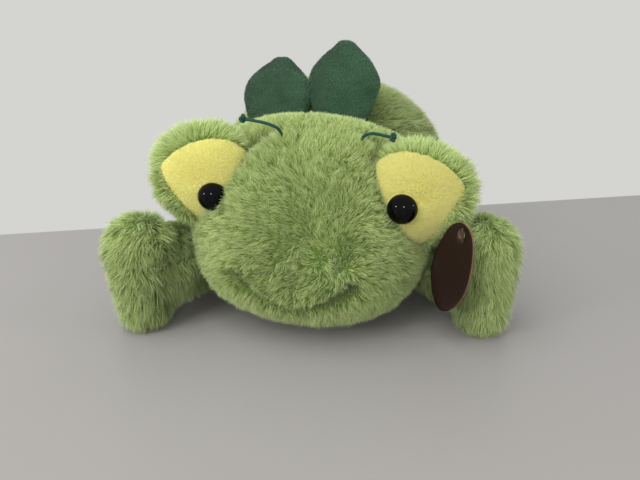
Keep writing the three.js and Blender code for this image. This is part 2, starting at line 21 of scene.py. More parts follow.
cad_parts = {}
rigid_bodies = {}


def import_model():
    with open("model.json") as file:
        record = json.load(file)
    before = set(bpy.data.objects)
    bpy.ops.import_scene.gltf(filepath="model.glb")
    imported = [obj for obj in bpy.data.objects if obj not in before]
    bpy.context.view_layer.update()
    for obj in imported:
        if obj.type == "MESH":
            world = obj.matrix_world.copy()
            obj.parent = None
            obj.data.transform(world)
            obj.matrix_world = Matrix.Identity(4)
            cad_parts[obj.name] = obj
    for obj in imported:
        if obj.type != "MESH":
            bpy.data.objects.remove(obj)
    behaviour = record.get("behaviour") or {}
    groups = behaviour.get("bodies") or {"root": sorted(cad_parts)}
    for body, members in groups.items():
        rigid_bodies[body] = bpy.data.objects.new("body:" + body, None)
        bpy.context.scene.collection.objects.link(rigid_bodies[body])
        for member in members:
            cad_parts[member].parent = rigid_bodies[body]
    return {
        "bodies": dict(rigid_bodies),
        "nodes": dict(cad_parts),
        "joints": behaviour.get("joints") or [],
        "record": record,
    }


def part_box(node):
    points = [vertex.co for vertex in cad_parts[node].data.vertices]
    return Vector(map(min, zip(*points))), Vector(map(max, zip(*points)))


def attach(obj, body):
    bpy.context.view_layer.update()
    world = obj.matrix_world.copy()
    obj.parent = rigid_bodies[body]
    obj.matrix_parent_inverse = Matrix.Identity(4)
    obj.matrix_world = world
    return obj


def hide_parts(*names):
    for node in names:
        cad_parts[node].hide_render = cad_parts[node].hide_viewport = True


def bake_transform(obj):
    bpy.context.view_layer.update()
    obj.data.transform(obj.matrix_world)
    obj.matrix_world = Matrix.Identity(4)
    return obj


LOG = logging.getLogger("mantis")
MM = 0.001
FAR = 25 * MM
BAKE_MAP = "OFBake"
NOISE_FACTORS = (73856093, 19349663, 83492791)
NOISE_SEED_FACTOR = 2654435761
NOISE_MIX = 1274126177
NOISE_MASK = 0x7FFFFFFF
NOISE_LEVELS = 20011
CURVE_STEPS = 24
ODD_DIRECTION = (0.31, 0.17, 0.93)
PLY_DEPTH = 0.22
Colour = tuple[float, float, float, float]
Place = tuple[float, float, float]
Field = Callable[[np.ndarray, np.ndarray], np.ndarray]


class Side(Enum):
    """One of the toy's own sides, with the sign of its X."""

    LEFT = 1
    RIGHT = -1

    @property
    def word(self) -> str:
        """The side's name as the nodes of the frame begin with it."""
        return self.name.lower()


def paint_colour(red: int, green: int, blue: int) -> Colour:
    """Linear colour of an 8-bit display colour.

    Args:
        red: Red from 0 to 255.
        green: Green from 0 to 255.
        blue: Blue from 0 to 255.

    Returns:
        The colour with an alpha of 1.
    """
    def linear(level: int) -> float:
        """Linear light of one 8-bit level."""
        share = level / 255
        return share / 12.92 if share <= 0.04045 else ((share + 0.055) / 1.055) ** 2.4

    return linear(red), linear(green), linear(blue), 1.0


# Shaders


class Value:
    """A number's socket in a shader that takes part in arithmetic."""

    def __init__(self, shading: "Shading", socket: bpy.types.NodeSocket) -> None:
        """Wrap a socket of a shader's node tree."""
        self.shading = shading
        self.socket = socket

    def _with(self, operation: str, first: "Term", second: "Term") -> "Value":
        """Result of a Math node on two terms."""
        return self.shading.output("ShaderNodeMath", {"operation": operation}, {0: first, 1: second})

    def __add__(self, other: "Term") -> "Value":
        """Sum of two values."""
        return self._with("ADD", self, other)

    def __radd__(self, other: "Term") -> "Value":
        """Sum with a number in front."""
        return self._with("ADD", other, self)

    def __sub__(self, other: "Term") -> "Value":
        """Difference of two values."""
        return self._with("SUBTRACT", self, other)

    def __rsub__(self, other: "Term") -> "Value":
        """Difference with a number in front."""
        return self._with("SUBTRACT", other, self)

    def __mul__(self, other: "Term") -> "Value":
        """Product of two values."""
        return self._with("MULTIPLY", self, other)

    def __rmul__(self, other: "Term") -> "Value":
        """Product with a number in front."""
        return self._with("MULTIPLY", other, self)


Term = Union[Value, float]


class Shading:
    """A shader's node tree under construction."""

    def __init__(self, tree: bpy.types.NodeTree) -> None:
        """Start from an empty tree."""
        self.tree = tree
        self.tree.nodes.clear()

    def node(self, kind: str, settings: Optional[dict[str, Any]] = None,
             inputs: Optional[dict[Any, Any]] = None) -> bpy.types.Node:
        """Add a node.

        Args:
            kind: The node's type.
            settings: Its properties, and for a ramp its stops.
            inputs: Values or links of its sockets, by name or number.

        Returns:
            The new node.
        """
        made = self.tree.nodes.new(kind)
        for key, setting in (settings or {}).items():
            if key == "stops":
                self._set_stops(made.color_ramp, setting)
            else:
                setattr(made, key, setting)
        for key, given in (inputs or {}).items():
            socket = made.inputs[key]
            if isinstance(given, Value):
                self.tree.links.new(given.socket, socket)
            else:
                socket.default_value = given
        return made

    def output(self, kind: str, settings: Optional[dict[str, Any]] = None,
               inputs: Optional[dict[Any, Any]] = None, name: Union[str, int] = 0) -> Value:
        """Add a node and give one of its outputs."""
        return Value(self, self.node(kind, settings, inputs).outputs[name])

    @staticmethod
    def _set_stops(ramp: bpy.types.ColorRamp, stops: Sequence[tuple[float, Colour]]) -> None:
        """Give a ramp its stops."""
        while len(ramp.elements) < len(stops):
            ramp.elements.new(1.0)
        for element, (place, colour) in zip(ramp.elements, stops):
            element.position = place
            element.color = colour

    def scaled(self, colour: Value, share: Term) -> Value:
        """A colour made lighter or darker by a share."""
        return self.output("ShaderNodeVectorMath", {"operation": "SCALE"}, {0: colour, "Scale": share})

    def mixed(self, share: Term, first: Union[Value, Colour], second: Union[Value, Colour]) -> Value:
        """A blend of two colours."""
        inputs = {"Factor": share, 6: first, 7: second}
        return self.output("ShaderNodeMix", {"data_type": "RGBA"}, inputs, 2)


class Paint(Shading):
    """A material under construction, with one Principled surface."""

    def __init__(self, name: str) -> None:
        """Start an empty material."""
        self.material = bpy.data.materials.new(name)
        self.material.use_nodes = True
        super().__init__(self.material.node_tree)

    def noise(self, scale: float, detail: float = 2.0, stretch: Place = (1, 1, 1)) -> Value:
        """Noise in the toy's own frame.

        Args:
            scale: Waves in a metre.
            detail: Octaves of finer noise.
            stretch: How much finer it is along each axis.

        Returns:
            A value about 0.5.
        """
        place = self.output("ShaderNodeTexCoord", name="Object")
        turned = self.output("ShaderNodeMapping", {}, {"Vector": place, "Scale": stretch})
        return self.output("ShaderNodeTexNoise", {}, {"Vector": turned, "Scale": scale, "Detail": detail})

    def bump(self, height: Value, depth: float, strength: float) -> Value:
        """Normal of a surface with a relief of a depth in metres."""
        return self.output("ShaderNodeBump", {}, {"Height": height, "Distance": depth, "Strength": strength})

    def surface(self, inputs: dict[str, Any]) -> bpy.types.Material:
        """Close the material with a Principled surface."""
        shader = self.output("ShaderNodeBsdfPrincipled", {}, inputs)
        self.node("ShaderNodeOutputMaterial", {}, {"Surface": shader})
        return self.material


# Finishes


@dataclass(frozen=True)
class PileFinish:
    """Strands of pile, coloured from root to tip. Their map holds the strand's tone and the way along it."""

    name: str
    root: Colour
    middle: Colour
    tip: Colour
    middle_place: float = 0.45
    darkest: float = 0.4
    lightest: float = 1.4
    roughness: float = 0.8
    shine: float = 0.25
    sheen: float = 0.3
    sheen_roughness: float = 0.5

    def material(self) -> bpy.types.Material:
        """The strands' material."""
        paint = Paint(self.name)
        place = paint.output("ShaderNodeUVMap", {"uv_map": BAKE_MAP})
        parts = paint.node("ShaderNodeSeparateXYZ", {}, {0: place})
        tone = Value(paint, parts.outputs["X"])
        along = Value(paint, parts.outputs["Y"])
        # From root to tip the strands go from dark to light: partly their own colour, partly painted shade
        # deep in the pile and painted light on the tips.
        stops = [(0.0, self.root), (self.middle_place, self.middle), (1.0, self.tip)]
        ramp = paint.output("ShaderNodeValToRGB", {"stops": stops}, {0: along})
        share = self.darkest + tone * (self.lightest - self.darkest)
        return paint.surface({
            "Base Color": paint.scaled(ramp, share),
            "Roughness": self.roughness,
            "Specular IOR Level": self.shine,
            "Sheen Weight": self.sheen,
            "Sheen Roughness": self.sheen_roughness,
        })


@dataclass(frozen=True)
class ClothFinish:
    """Backing cloth or short pile: two colours in soft blotches, with a fine relief."""

    name: str
    base: Colour
    second: Colour
    blotch: float = 90.0
    blotch_detail: float = 3.0
    grain: float = 1400.0
    grain_detail: float = 2.0
    streak: Place = (1.0, 1.0, 1.0)
    contrast: float = 0.3
    relief: float = 0.4 * MM
    relief_strength: float = 0.6
    roughness: float = 0.85
    shine: float = 0.25
    sheen: float = 0.35
    sheen_roughness: float = 0.45

    def material(self) -> bpy.types.Material:
        """The cloth's material."""
        paint = Paint(self.name)
        blotches = paint.noise(self.blotch, self.blotch_detail)
        grain = paint.noise(self.grain, self.grain_detail, self.streak)
        colour = paint.mixed(blotches, self.base, self.second)
        speck = 1 - self.contrast / 2 + grain * self.contrast
        return paint.surface({
            "Base Color": paint.scaled(colour, speck),
            "Roughness": self.roughness,
            "Sheen Weight": self.sheen,
            "Sheen Roughness": self.sheen_roughness,
            "Specular IOR Level": self.shine,
            "Normal": paint.bump(grain, self.relief, self.relief_strength),
        })


@dataclass(frozen=True)
class GlossFinish:
    """Moulded plastic with faint handling marks."""

    name: str
    base: Colour
    roughness: float
    marks: float = 0.06
    shine: float = 0.5
    transmission: float = 0.0
    smear: float = 260.0
    smear_detail: float = 3.0

    def material(self) -> bpy.types.Material:
        """The plastic's material."""
        paint = Paint(self.name)
        smear = paint.noise(self.smear, self.smear_detail)
        return paint.surface({
            "Base Color": self.base,
            "Roughness": self.roughness + smear * self.marks,
            "Specular IOR Level": self.shine,
            "Transmission Weight": self.transmission,
        })


@dataclass(frozen=True)
class CordFinish:
    """Waxed twisted cord, lighter where it is worn."""

    name: str
    base: Colour
    worn: Colour
    wear: float = 900.0
    wear_detail: float = 2.0
    fibre: float = 5200.0
    fibre_detail: float = 1.0
    roughness: float = 0.42
    roughness_range: float = 0.25
    relief: float = 0.1 * MM
    relief_strength: float = 0.5

    def material(self) -> bpy.types.Material:
        """The cord's material."""
        paint = Paint(self.name)
        wear = paint.noise(self.wear, self.wear_detail)
        fibre = paint.noise(self.fibre, self.fibre_detail)
        return paint.surface({
            "Base Color": paint.mixed(wear, self.base, self.worn),
            "Roughness": self.roughness + fibre * self.roughness_range,
            "Normal": paint.bump(fibre, self.relief, self.relief_strength),
        })


@dataclass(frozen=True)
class CardFinish:
    """Printed card: a flat dark print with soft gloss, and paper fibre that shows faintly."""

    name: str
    base: Colour
    second: Colour
    roughness: float = 0.38
    roughness_range: float = 0.2
    fibre: float = 700.0
    fibre_detail: float = 4.0
    smear: float = 60.0
    smear_detail: float = 2.0
    relief: float = 0.04 * MM
    relief_strength: float = 0.4

    def material(self) -> bpy.types.Material:
        """The card's material."""
        paint = Paint(self.name)
        fibre = paint.noise(self.fibre, self.fibre_detail)
        smear = paint.noise(self.smear, self.smear_detail)
        return paint.surface({
            "Base Color": paint.mixed(fibre, self.base, self.second),
            "Roughness": self.roughness + smear * self.roughness_range,
            "Normal": paint.bump(fibre, self.relief, self.relief_strength),
        })


@dataclass(frozen=True)
class FloorFinish:
    """A plain pale table top with a faint gloss."""

    name: str = "table_top"
    base: Colour = paint_colour(169, 166, 163)
    second: Colour = paint_colour(163, 160, 157)
    roughness: float = 0.34
    roughness_range: float = 0.08
    shine: float = 0.35
    cloud: float = 6.0
    cloud_detail: float = 3.0

    def material(self) -> bpy.types.Material:
        """The table's material."""
        paint = Paint(self.name)
        cloud = paint.noise(self.cloud, self.cloud_detail)
        return paint.surface({
            "Base Color": paint.mixed(cloud, self.base, self.second),
            "Roughness": self.roughness + cloud * self.roughness_range,
            "Specular IOR Level": self.shine,
        })


# Fur is darker at the root and lighter at the tip: partly its own colour, partly painted shade deep in the
# pile and painted light on the tips.
FUR_ROOT = paint_colour(104, 126, 50)
FUR_MIDDLE = paint_colour(163, 185, 100)
FUR_TIP = paint_colour(207, 220, 161)
BACKING_DARK = paint_colour(100, 130, 58)
BACKING_LIGHT = paint_colour(116, 146, 70)
PATCH_YELLOW = paint_colour(229, 216, 108)
PATCH_PALE = paint_colour(222, 210, 132)
PATCH_NAP = (paint_colour(238, 235, 124), paint_colour(246, 245, 152), paint_colour(250, 249, 182))
WING_GREEN = paint_colour(38, 66, 46)
WING_LIGHT = paint_colour(60, 95, 68)
WING_NAP = (paint_colour(38, 67, 48), paint_colour(62, 101, 72), paint_colour(90, 132, 99))
CORD_DARK = paint_colour(8, 52, 42)
CORD_WORN = paint_colour(22, 84, 68)
# Colours of the smile's stitch, dark so that it is also the crease's painted shadow.
STITCH_SHADOW_DARK = paint_colour(26, 38, 13)
STITCH_SHADOW_LIGHT = paint_colour(44, 62, 24)
EYE_BLACK = paint_colour(5, 5, 6)
WASHER_WHITE = paint_colour(228, 228, 222)
CARD_BROWN = paint_colour(33, 15, 10)
CARD_LIGHT = paint_colour(40, 20, 14)
CARD_EDGE = paint_colour(120, 84, 66)
CARD_EDGE_LIGHT = paint_colour(140, 104, 84)
PIN_SMOKE = paint_colour(92, 66, 54)


@dataclass(frozen=True)
class Wardrobe:
    """Every material of the toy, made once."""

    fur: bpy.types.Material
    backing: bpy.types.Material
    patch: bpy.types.Material
    patch_nap: bpy.types.Material
    wing: bpy.types.Material
    wing_nap: bpy.types.Material
    cord: bpy.types.Material
    thread: bpy.types.Material
    eye: bpy.types.Material
    washer: bpy.types.Material
    card: bpy.types.Material
    card_edge: bpy.types.Material
    pin: bpy.types.Material
    floor: bpy.types.Material

    @classmethod
    def made(cls) -> "Wardrobe":
        """Make all materials."""
        return cls(
            fur=PileFinish("long_fur", FUR_ROOT, FUR_MIDDLE, FUR_TIP).material(),
            backing=ClothFinish("fur_backing", BACKING_DARK, BACKING_LIGHT).material(),
            patch=ClothFinish("short_yellow_pile", PATCH_YELLOW, PATCH_PALE, blotch=34.0, grain=1500.0,
                              contrast=0.16, relief=0.35 * MM).material(),
            patch_nap=PileFinish("yellow_nap", *PATCH_NAP, darkest=0.72, lightest=1.18).material(),
            wing=ClothFinish("short_green_pile", WING_GREEN, WING_LIGHT, blotch=150.0, grain=1100.0,
                             streak=(1.0, 0.4, 0.4), contrast=0.6, relief=0.6 * MM).material(),
            wing_nap=PileFinish("green_nap", *WING_NAP, darkest=0.5, lightest=1.45).material(),
            cord=CordFinish("waxed_cord", CORD_DARK, CORD_WORN).material(),
            thread=CordFinish("sewing_thread", STITCH_SHADOW_DARK, STITCH_SHADOW_LIGHT).material(),
            eye=GlossFinish("black_eye", EYE_BLACK, roughness=0.03, marks=0.03, shine=0.15).material(),
            washer=GlossFinish("white_washer", WASHER_WHITE, roughness=0.4).material(),
            card=CardFinish("brown_card", CARD_BROWN, CARD_LIGHT).material(),
            card_edge=CardFinish("card_edge", CARD_EDGE, CARD_EDGE_LIGHT, roughness=0.8).material(),
            pin=GlossFinish("smoky_nylon", PIN_SMOKE, roughness=0.22, transmission=0.5).material(),
            floor=FloorFinish().material(),
        )


# Arithmetic on many points at once


def unit(vectors: np.ndarray) -> np.ndarray:
    """Vectors at length 1, and none where they have no length."""
    lengths = np.linalg.norm(vectors, axis=-1, keepdims=True)
    return vectors / np.maximum(lengths, 1e-9)


def dots(first: np.ndarray, second: np.ndarray) -> np.ndarray:
    """Dot products of paired vectors, as a column."""
    return np.sum(first * second, axis=-1, keepdims=True)


def bell(distance: np.ndarray, reach: float) -> np.ndarray:
    """1 at a distance of 0, falling smoothly over a reach."""
    return np.exp(-((distance / reach) ** 2))


def lattice_noise(points: np.ndarray, cell: float, seed: int) -> np.ndarray:
    """Smooth noise from -1 to 1 at many points.

    Args:
        points: Places, one in each row.
        cell: Size of the noise's cells.
        seed: Picks the noise.

    Returns:
        One value for each point.
    """
    scaled = points / cell
    corner = np.floor(scaled).astype(np.int64)
    share = scaled - corner
    share = share * share * (3 - 2 * share)
    total = np.zeros(len(points))
    for step in range(8):
        offset = np.array([step & 1, (step >> 1) & 1, (step >> 2) & 1])
        place = corner + offset
        mixed = np.bitwise_xor.reduce(place * np.array(NOISE_FACTORS), axis=1) ^ seed * NOISE_SEED_FACTOR
        mixed = (mixed ^ (mixed >> 13)) * NOISE_MIX & NOISE_MASK
        level = (mixed % NOISE_LEVELS) / (NOISE_LEVELS / 2) - 1
        weight = np.prod(np.where(offset == 1, share, 1 - share), axis=1)
        total += level * weight
    return total


def within(points: np.ndarray, form: np.ndarray, margin: float) -> np.ndarray:
    """Which points lie in the box around a form, with a margin."""
    return ((points > form.min(axis=0) - margin) & (points < form.max(axis=0) + margin)).all(axis=1)


def nearest_distance(points: np.ndarray, path: np.ndarray) -> tuple[np.ndarray, np.ndarray]:
    """Distance of many points from a path, and the number of the path's nearest point.

    Args:
        points: Places, one in each row.
        path: The path's points, close together.

    Returns:
        Distances, as FAR where they are larger, and the numbers of the nearest path points.
    """
    near = within(points, path, FAR)
    places = points[near]
    shortest = np.full(len(places), np.inf)
    closest = np.zeros(len(places), np.int64)
    for number, place in enumerate(path):
        gaps = ((places - place) ** 2).sum(axis=1)
        closer = gaps < shortest
        shortest[closer] = gaps[closer]
        closest[closer] = number
    distances = np.full(len(points), FAR)
    nearest = np.zeros(len(points), np.int64)
    distances[near] = np.sqrt(shortest)
    nearest[near] = closest
    return distances, nearest


def smooth_path(stations: Sequence[Sequence[float]], count: int) -> np.ndarray:
    """Evenly spaced points of a smooth line through a few stations.

    Args:
        stations: The points that the line goes through.
        count: How many points to give.

    Returns:
        Points of the line, one in each row.
    """
    knots = np.array(stations, float)
    padded = np.vstack([2 * knots[0] - knots[1], knots, 2 * knots[-1] - knots[-2]])
    pieces = []
    share = np.linspace(0, 1, CURVE_STEPS, endpoint=False)[:, None]
    for a, b, c, d in zip(padded, padded[1:], padded[2:], padded[3:]):
        pieces.append(0.5 * (2 * b + (c - a) * share + (2 * a - 5 * b + 4 * c - d) * share**2
                             + (3 * b - a - 3 * c + d) * share**3))
    line = np.vstack([*pieces, knots[-1:]])
    travelled = np.concatenate([[0], np.cumsum(np.linalg.norm(np.diff(line, axis=0), axis=1))])
    wanted = np.linspace(0, travelled[-1], count)
    return np.stack([np.interp(wanted, travelled, line[:, axis]) for axis in range(3)], axis=1)


# Meshes


def object_of(name: str, points: np.ndarray, faces: np.ndarray, material: bpy.types.Material,
              places: Optional[np.ndarray] = None) -> bpy.types.Object:
    """A mesh object from arrays.

    Args:
        name: The piece's name.
        points: Corners, one in each row.
        faces: Corner numbers of faces that all have as many corners.
        material: The piece's material.
        places: For each corner of each face, its place in the colour map.

    Returns:
        The object, linked to the scene.
    """
    corners = faces.shape[1]
    mesh = bpy.data.meshes.new(name)
    mesh.vertices.add(len(points))
    mesh.vertices.foreach_set("co", np.ascontiguousarray(points, np.float32).ravel())
    mesh.loops.add(faces.size)
    mesh.loops.foreach_set("vertex_index", np.ascontiguousarray(faces, np.int32).ravel())
    mesh.polygons.add(len(faces))
    mesh.polygons.foreach_set("loop_start", np.arange(0, faces.size, corners, dtype=np.int32))
    mesh.update(calc_edges=True)
    if places is not None:
        layer = mesh.uv_layers.new(name=BAKE_MAP)
        layer.data.foreach_set("uv", np.ascontiguousarray(places, np.float32).ravel())
    mesh.polygons.foreach_set("use_smooth", np.ones(len(faces), bool))
    mesh.materials.append(material)
    made = bpy.data.objects.new(name, mesh)
    bpy.context.scene.collection.objects.link(made)
    return made


def corner_points(piece: bpy.types.Object) -> np.ndarray:
    """Corners of an object's mesh, one in each row."""
    flat = np.empty(3 * len(piece.data.vertices))
    piece.data.vertices.foreach_get("co", flat)
    return flat.reshape(-1, 3)


def corner_normals(piece: bpy.types.Object) -> np.ndarray:
    """Normals at the corners of an object's mesh."""
    flat = np.empty(3 * len(piece.data.vertices))
    piece.data.vertex_normals.foreach_get("vector", flat)
    return flat.reshape(-1, 3)


def move_corners(piece: bpy.types.Object, points: np.ndarray) -> None:
    """Put an object's corners at new places."""
    piece.data.vertices.foreach_set("co", np.ascontiguousarray(points, np.float32).ravel())
    piece.data.update()


def settle(piece: bpy.types.Object) -> None:
    """Apply all of an object's modifiers to its mesh."""
    graph = bpy.context.evaluated_depsgraph_get()
    finished = bpy.data.meshes.new_from_object(piece.evaluated_get(graph))
    piece.modifiers.clear()
    piece.data = finished


def hull_mesh(points: np.ndarray) -> tuple[np.ndarray, np.ndarray]:
    """Convex hull of points.

    Args:
        points: Places, one in each row.

    Returns:
        Corners and triangles of the hull.
    """
    shape = bmesh.new()
    for point in points:
        shape.verts.new(point)
    result = bmesh.ops.convex_hull(shape, input=shape.verts)
    spare = {item for key in ("geom_interior", "geom_unused") for item in result[key]}
    loose = [item for item in spare if isinstance(item, bmesh.types.BMVert)]
    bmesh.ops.delete(shape, geom=loose, context="VERTS")
    bmesh.ops.triangulate(shape, faces=shape.faces)
    shape.verts.index_update()
    corners = np.array([vert.co for vert in shape.verts])
    triangles = np.array([[vert.index for vert in face.verts] for face in shape.faces])
    shape.free()
    return corners, triangles


@dataclass
class Hull:
    """A convex form, to ask how deep a point lies in it."""

    corners: np.ndarray
    triangles: np.ndarray

    @classmethod
    def around(cls, points: np.ndarray) -> "Hull":
        """The hull around points."""
        return cls(*hull_mesh(points))

    def depth(self, points: np.ndarray) -> np.ndarray:
        """How deep points lie under the hull's faces, negative outside and -FAR well outside.

        Args:
            points: Places, one in each row.

        Returns:
            One depth for each point.
        """
        first, second, third = (self.corners[self.triangles[:, i]] for i in range(3))
        normals = unit(np.cross(second - first, third - first))
        middle = self.corners.mean(axis=0)
        outwards = np.sign(dots(normals, first - middle))
        normals = normals * outwards
        heights = dots(normals, first).ravel()
        near = within(points, self.corners, FAR / 2)
        places = points[near]
        shallowest = np.full(len(places), np.inf)
        for normal, height in zip(normals, heights):
            np.minimum(shallowest, height - places @ normal, out=shallowest)
        depths = np.full(len(points), -FAR)
        depths[near] = shallowest
        return depths


@dataclass
class Skin:
    """How a stuffed form's skin is drawn over the solids of the frame."""

    voxel: float
    rounds: int = 12
    inset: float = 0.0
    softness: float = 0.5

    def over(self, name: str, hulls: Sequence[Hull], material: bpy.types.Material) -> bpy.types.Object:
        """A smooth closed skin over one or more hulls.

        Args:
            name: The piece's name.
            hulls: The forms that it covers.
            material: The skin's material.

        Returns:
            The skin.
        """
        points = np.vstack([hull.corners for hull in hulls])
        starts = np.cumsum([0] + [len(hull.corners) for hull in hulls])
        faces = np.vstack([hull.triangles + start for hull, start in zip(hulls, starts)])
        skin = object_of(name, points, faces, material)
        remesh = skin.modifiers.new("weave", "REMESH")
        remesh.mode = "VOXEL"
        remesh.voxel_size = self.voxel
        smooth = skin.modifiers.new("ease", "SMOOTH")
        smooth.factor = self.softness
        smooth.iterations = self.rounds
        settle(skin)
        if not skin.data.materials:
            skin.data.materials.append(material)
        skin.data.polygons.foreach_set("use_smooth", np.ones(len(skin.data.polygons), bool))
        if self.inset:
            move_corners(skin, corner_points(skin) - corner_normals(skin) * self.inset)
        return skin


def tube_mesh(path: np.ndarray, radii: np.ndarray, sides: int, plies: int = 0, turns: float = 0.0,
              closed: bool = False) -> tuple[np.ndarray, np.ndarray]:
    """A round tube along a path, or a twisted one of several plies.

    Args:
        path: The tube's middle line.
        radii: Its radius at each point of the path.
        sides: Corners around it.
        plies: Strands that it is twisted from, 0 for a plain tube.
        turns: Turns of the twist over the path.
        closed: Whether the path ends where it starts.

    Returns:
        Corners and quads.
    """
    count = len(path)
    if closed:
        tangents = unit(np.roll(path, -1, axis=0) - np.roll(path, 1, axis=0))
    else:
        tangents = unit(np.gradient(path, axis=0))
    across = unit(np.cross(tangents[0], ODD_DIRECTION))
    frames = []
    for tangent in tangents:
        across = unit(across - tangent * float(across @ tangent))
        frames.append(across)
    normals = np.array(frames)
    binormals = np.cross(tangents, normals)
    angles = np.linspace(0, 2 * math.pi, sides, endpoint=False)[None, :]
    swell = np.ones((count, sides))
    if plies:
        twist = np.linspace(0, 2 * math.pi * turns, count)[:, None]
        swell = (1 - PLY_DEPTH) + PLY_DEPTH * np.abs(np.cos((angles - twist) * plies / 2))
    reach = radii[:, None] * swell
    corners = (path[:, None, :] + normals[:, None, :] * (reach * np.cos(angles))[:, :, None]
               + binormals[:, None, :] * (reach * np.sin(angles))[:, :, None]).reshape(-1, 3)
    rows = count if closed else count - 1
    row = np.arange(rows)[:, None] * sides
    next_row = (np.arange(rows)[:, None] + 1) % count * sides
    column = np.arange(sides)[None, :]
    next_column = (column + 1) % sides
    faces = np.stack([row + column, row + next_column, next_row + next_column, next_row + column], axis=2)
    return corners, faces.reshape(-1, 4)


# Pile


@dataclass
class Pile:
    """Strands of pile that grow from a skin, as tapered ribbons gathered into locks."""

    name: str
    material: bpy.types.Material
    density: float
    length: float
    width: float
    lean: float = 0.36
    curl: float = 0.2
    sag: float = 0.08
    lock: float = 2.0 * MM
    gather: float = 0.45
    wander: float = 0.24
    swirl: float = 1.0
    levels: tuple[float, ...] = (0.0, 0.55, 1.0)
    taper: tuple[float, ...] = (1.0, 0.85, 0.0)
    tones: int = 24
    seed: int = 1
    ground: float = 0.3 * MM
    most: int = 60000
    shortest: float = 0.05
    swirls: tuple[tuple[float, float], ...] = ((13 * MM, 0.7), (3.6 * MM, 1.1))
    length_range: tuple[float, float] = (0.62, 0.6)
    droop: float = 0.55
    lock_power: float = 1.4
    lock_range: tuple[float, float] = (0.6, 0.4)
    tone: float = 0.58
    tone_chance: float = 0.1
    tone_patches: float = 0.07
    tone_cell: float = 9 * MM
    tone_most: float = 0.999
    shade_gain: float = 0.5
    twist: float = 0.6
    width_range: tuple[float, float] = (0.75, 0.5)
    map_sides: tuple[float, float] = (0.2, 0.8)
    map_margin: float = 0.01

    def _roots(self, skin: bpy.types.Object, rng: np.random.Generator) -> tuple[np.ndarray, np.ndarray]:
        """Random places on a skin, evenly by area.

        Args:
            skin: The mesh that the strands grow from.
            rng: Source of the chances.

        Returns:
            Roots and the skin's normals at them.
        """
        mesh = skin.data
        mesh.calc_loop_triangles()
        corners = np.empty(3 * len(mesh.loop_triangles), np.int32)
        mesh.loop_triangles.foreach_get("vertices", corners)
        corners = corners.reshape(-1, 3)
        points = corner_points(skin)
        normals = corner_normals(skin)
        a, b, c = (points[corners[:, i]] for i in range(3))
        areas = np.linalg.norm(np.cross(b - a, c - a), axis=1) / 2
        count = int(areas.sum() * self.density)
        steps = (np.arange(count) + rng.random(count)) / count
        picked = np.searchsorted(np.cumsum(areas) / areas.sum(), steps).clip(0, len(areas) - 1)
        first = np.sqrt(rng.random(count))[:, None]
        second = rng.random(count)[:, None]
        shares = (1 - first, first * (1 - second), first * second)
        roots = sum(points[corners[picked, i]] * shares[i] for i in range(3))
        facing = sum(normals[corners[picked, i]] * shares[i] for i in range(3))
        return roots, unit(facing)

    def _gathered(self, roots: np.ndarray, lines: np.ndarray, rng: np.random.Generator) -> np.ndarray:
        """Draw strands towards the middle strand of their lock.

        Args:
            roots: The strands' roots.
            lines: Points of each strand.
            rng: Source of the chances.

        Returns:
            The strands' new points.
        """
        area = len(roots) / self.density
        count = max(1, int(area / self.lock**2))
        chosen = rng.choice(len(roots), size=min(count, len(roots)), replace=False)
        tree = KDTree(len(chosen))
        for number, place in enumerate(roots[chosen]):
            tree.insert(place, number)
        tree.balance()
        nearest = chosen[np.array([tree.find(root)[1] for root in roots])]
        offset = lines[nearest][:, -1] - lines[:, -1]
        least, more = self.lock_range
        pull = self.gather * (least + more * rng.random(len(roots)))
        shares = np.array(self.levels) ** self.lock_power
        return lines + offset[:, None, :] * (pull[:, None] * shares[None, :])[:, :, None]

    def grow(self, skin: bpy.types.Object, comb: Field, trim: Field, shade: Field) -> list[bpy.types.Object]:
        """Grow the strands.

        Args:
            skin: The mesh that they grow from.
            comb: Gives the direction in which they are combed at each root.
            trim: Gives the share of the full length at each root, none where it is 0.
            shade: Gives how much lighter or darker the strands are, from -1 to 1.

        Returns:
            The pieces that hold the strands.
        """
        rng = np.random.default_rng(self.seed)
        roots, normals = self._roots(skin, rng)
        shares = trim(roots, normals)
        kept = shares > self.shortest
        roots, normals, shares = roots[kept], normals[kept], shares[kept]
        flow = comb(roots, normals)
        flow = flow - normals * dots(flow, normals)
        lean = self.lean * np.minimum(np.linalg.norm(flow, axis=1, keepdims=True), 1)
        swirl = np.zeros_like(roots)
        for cell, share in self.swirls:
            stir = [lattice_noise(roots, cell, self.seed + axis) for axis in range(3)]
            swirl += np.stack(stir, axis=1) * share
        flow = unit(unit(flow) + self.swirl * (swirl - normals * dots(swirl, normals)))
        chance = rng.normal(size=roots.shape) * self.wander
        start = unit(normals * (1 - lean) + flow * lean + chance)
        least, more = self.length_range
        lengths = self.length * shares * (least + more * rng.random(len(roots)))
        bend = flow * self.curl - normals * self.curl * self.droop + np.array([0, 0, -self.sag])
        way = np.array(self.levels)[None, :, None]
        course = start[:, None, :] * way + bend[:, None, :] * way**2
        lines = self._gathered(roots, roots[:, None, :] + lengths[:, None, None] * course, rng)
        lines[:, :, 2] = np.maximum(lines[:, :, 2], self.ground)
        patches = lattice_noise(roots, self.tone_cell, self.seed + 7)
        tone = self.tone + self.tone_chance * rng.normal(size=len(roots)) + self.tone_patches * patches
        tone = tone + self.shade_gain * shade(roots, normals)
        return self._pieces(lines, normals, np.clip(tone, 0, self.tone_most), rng)

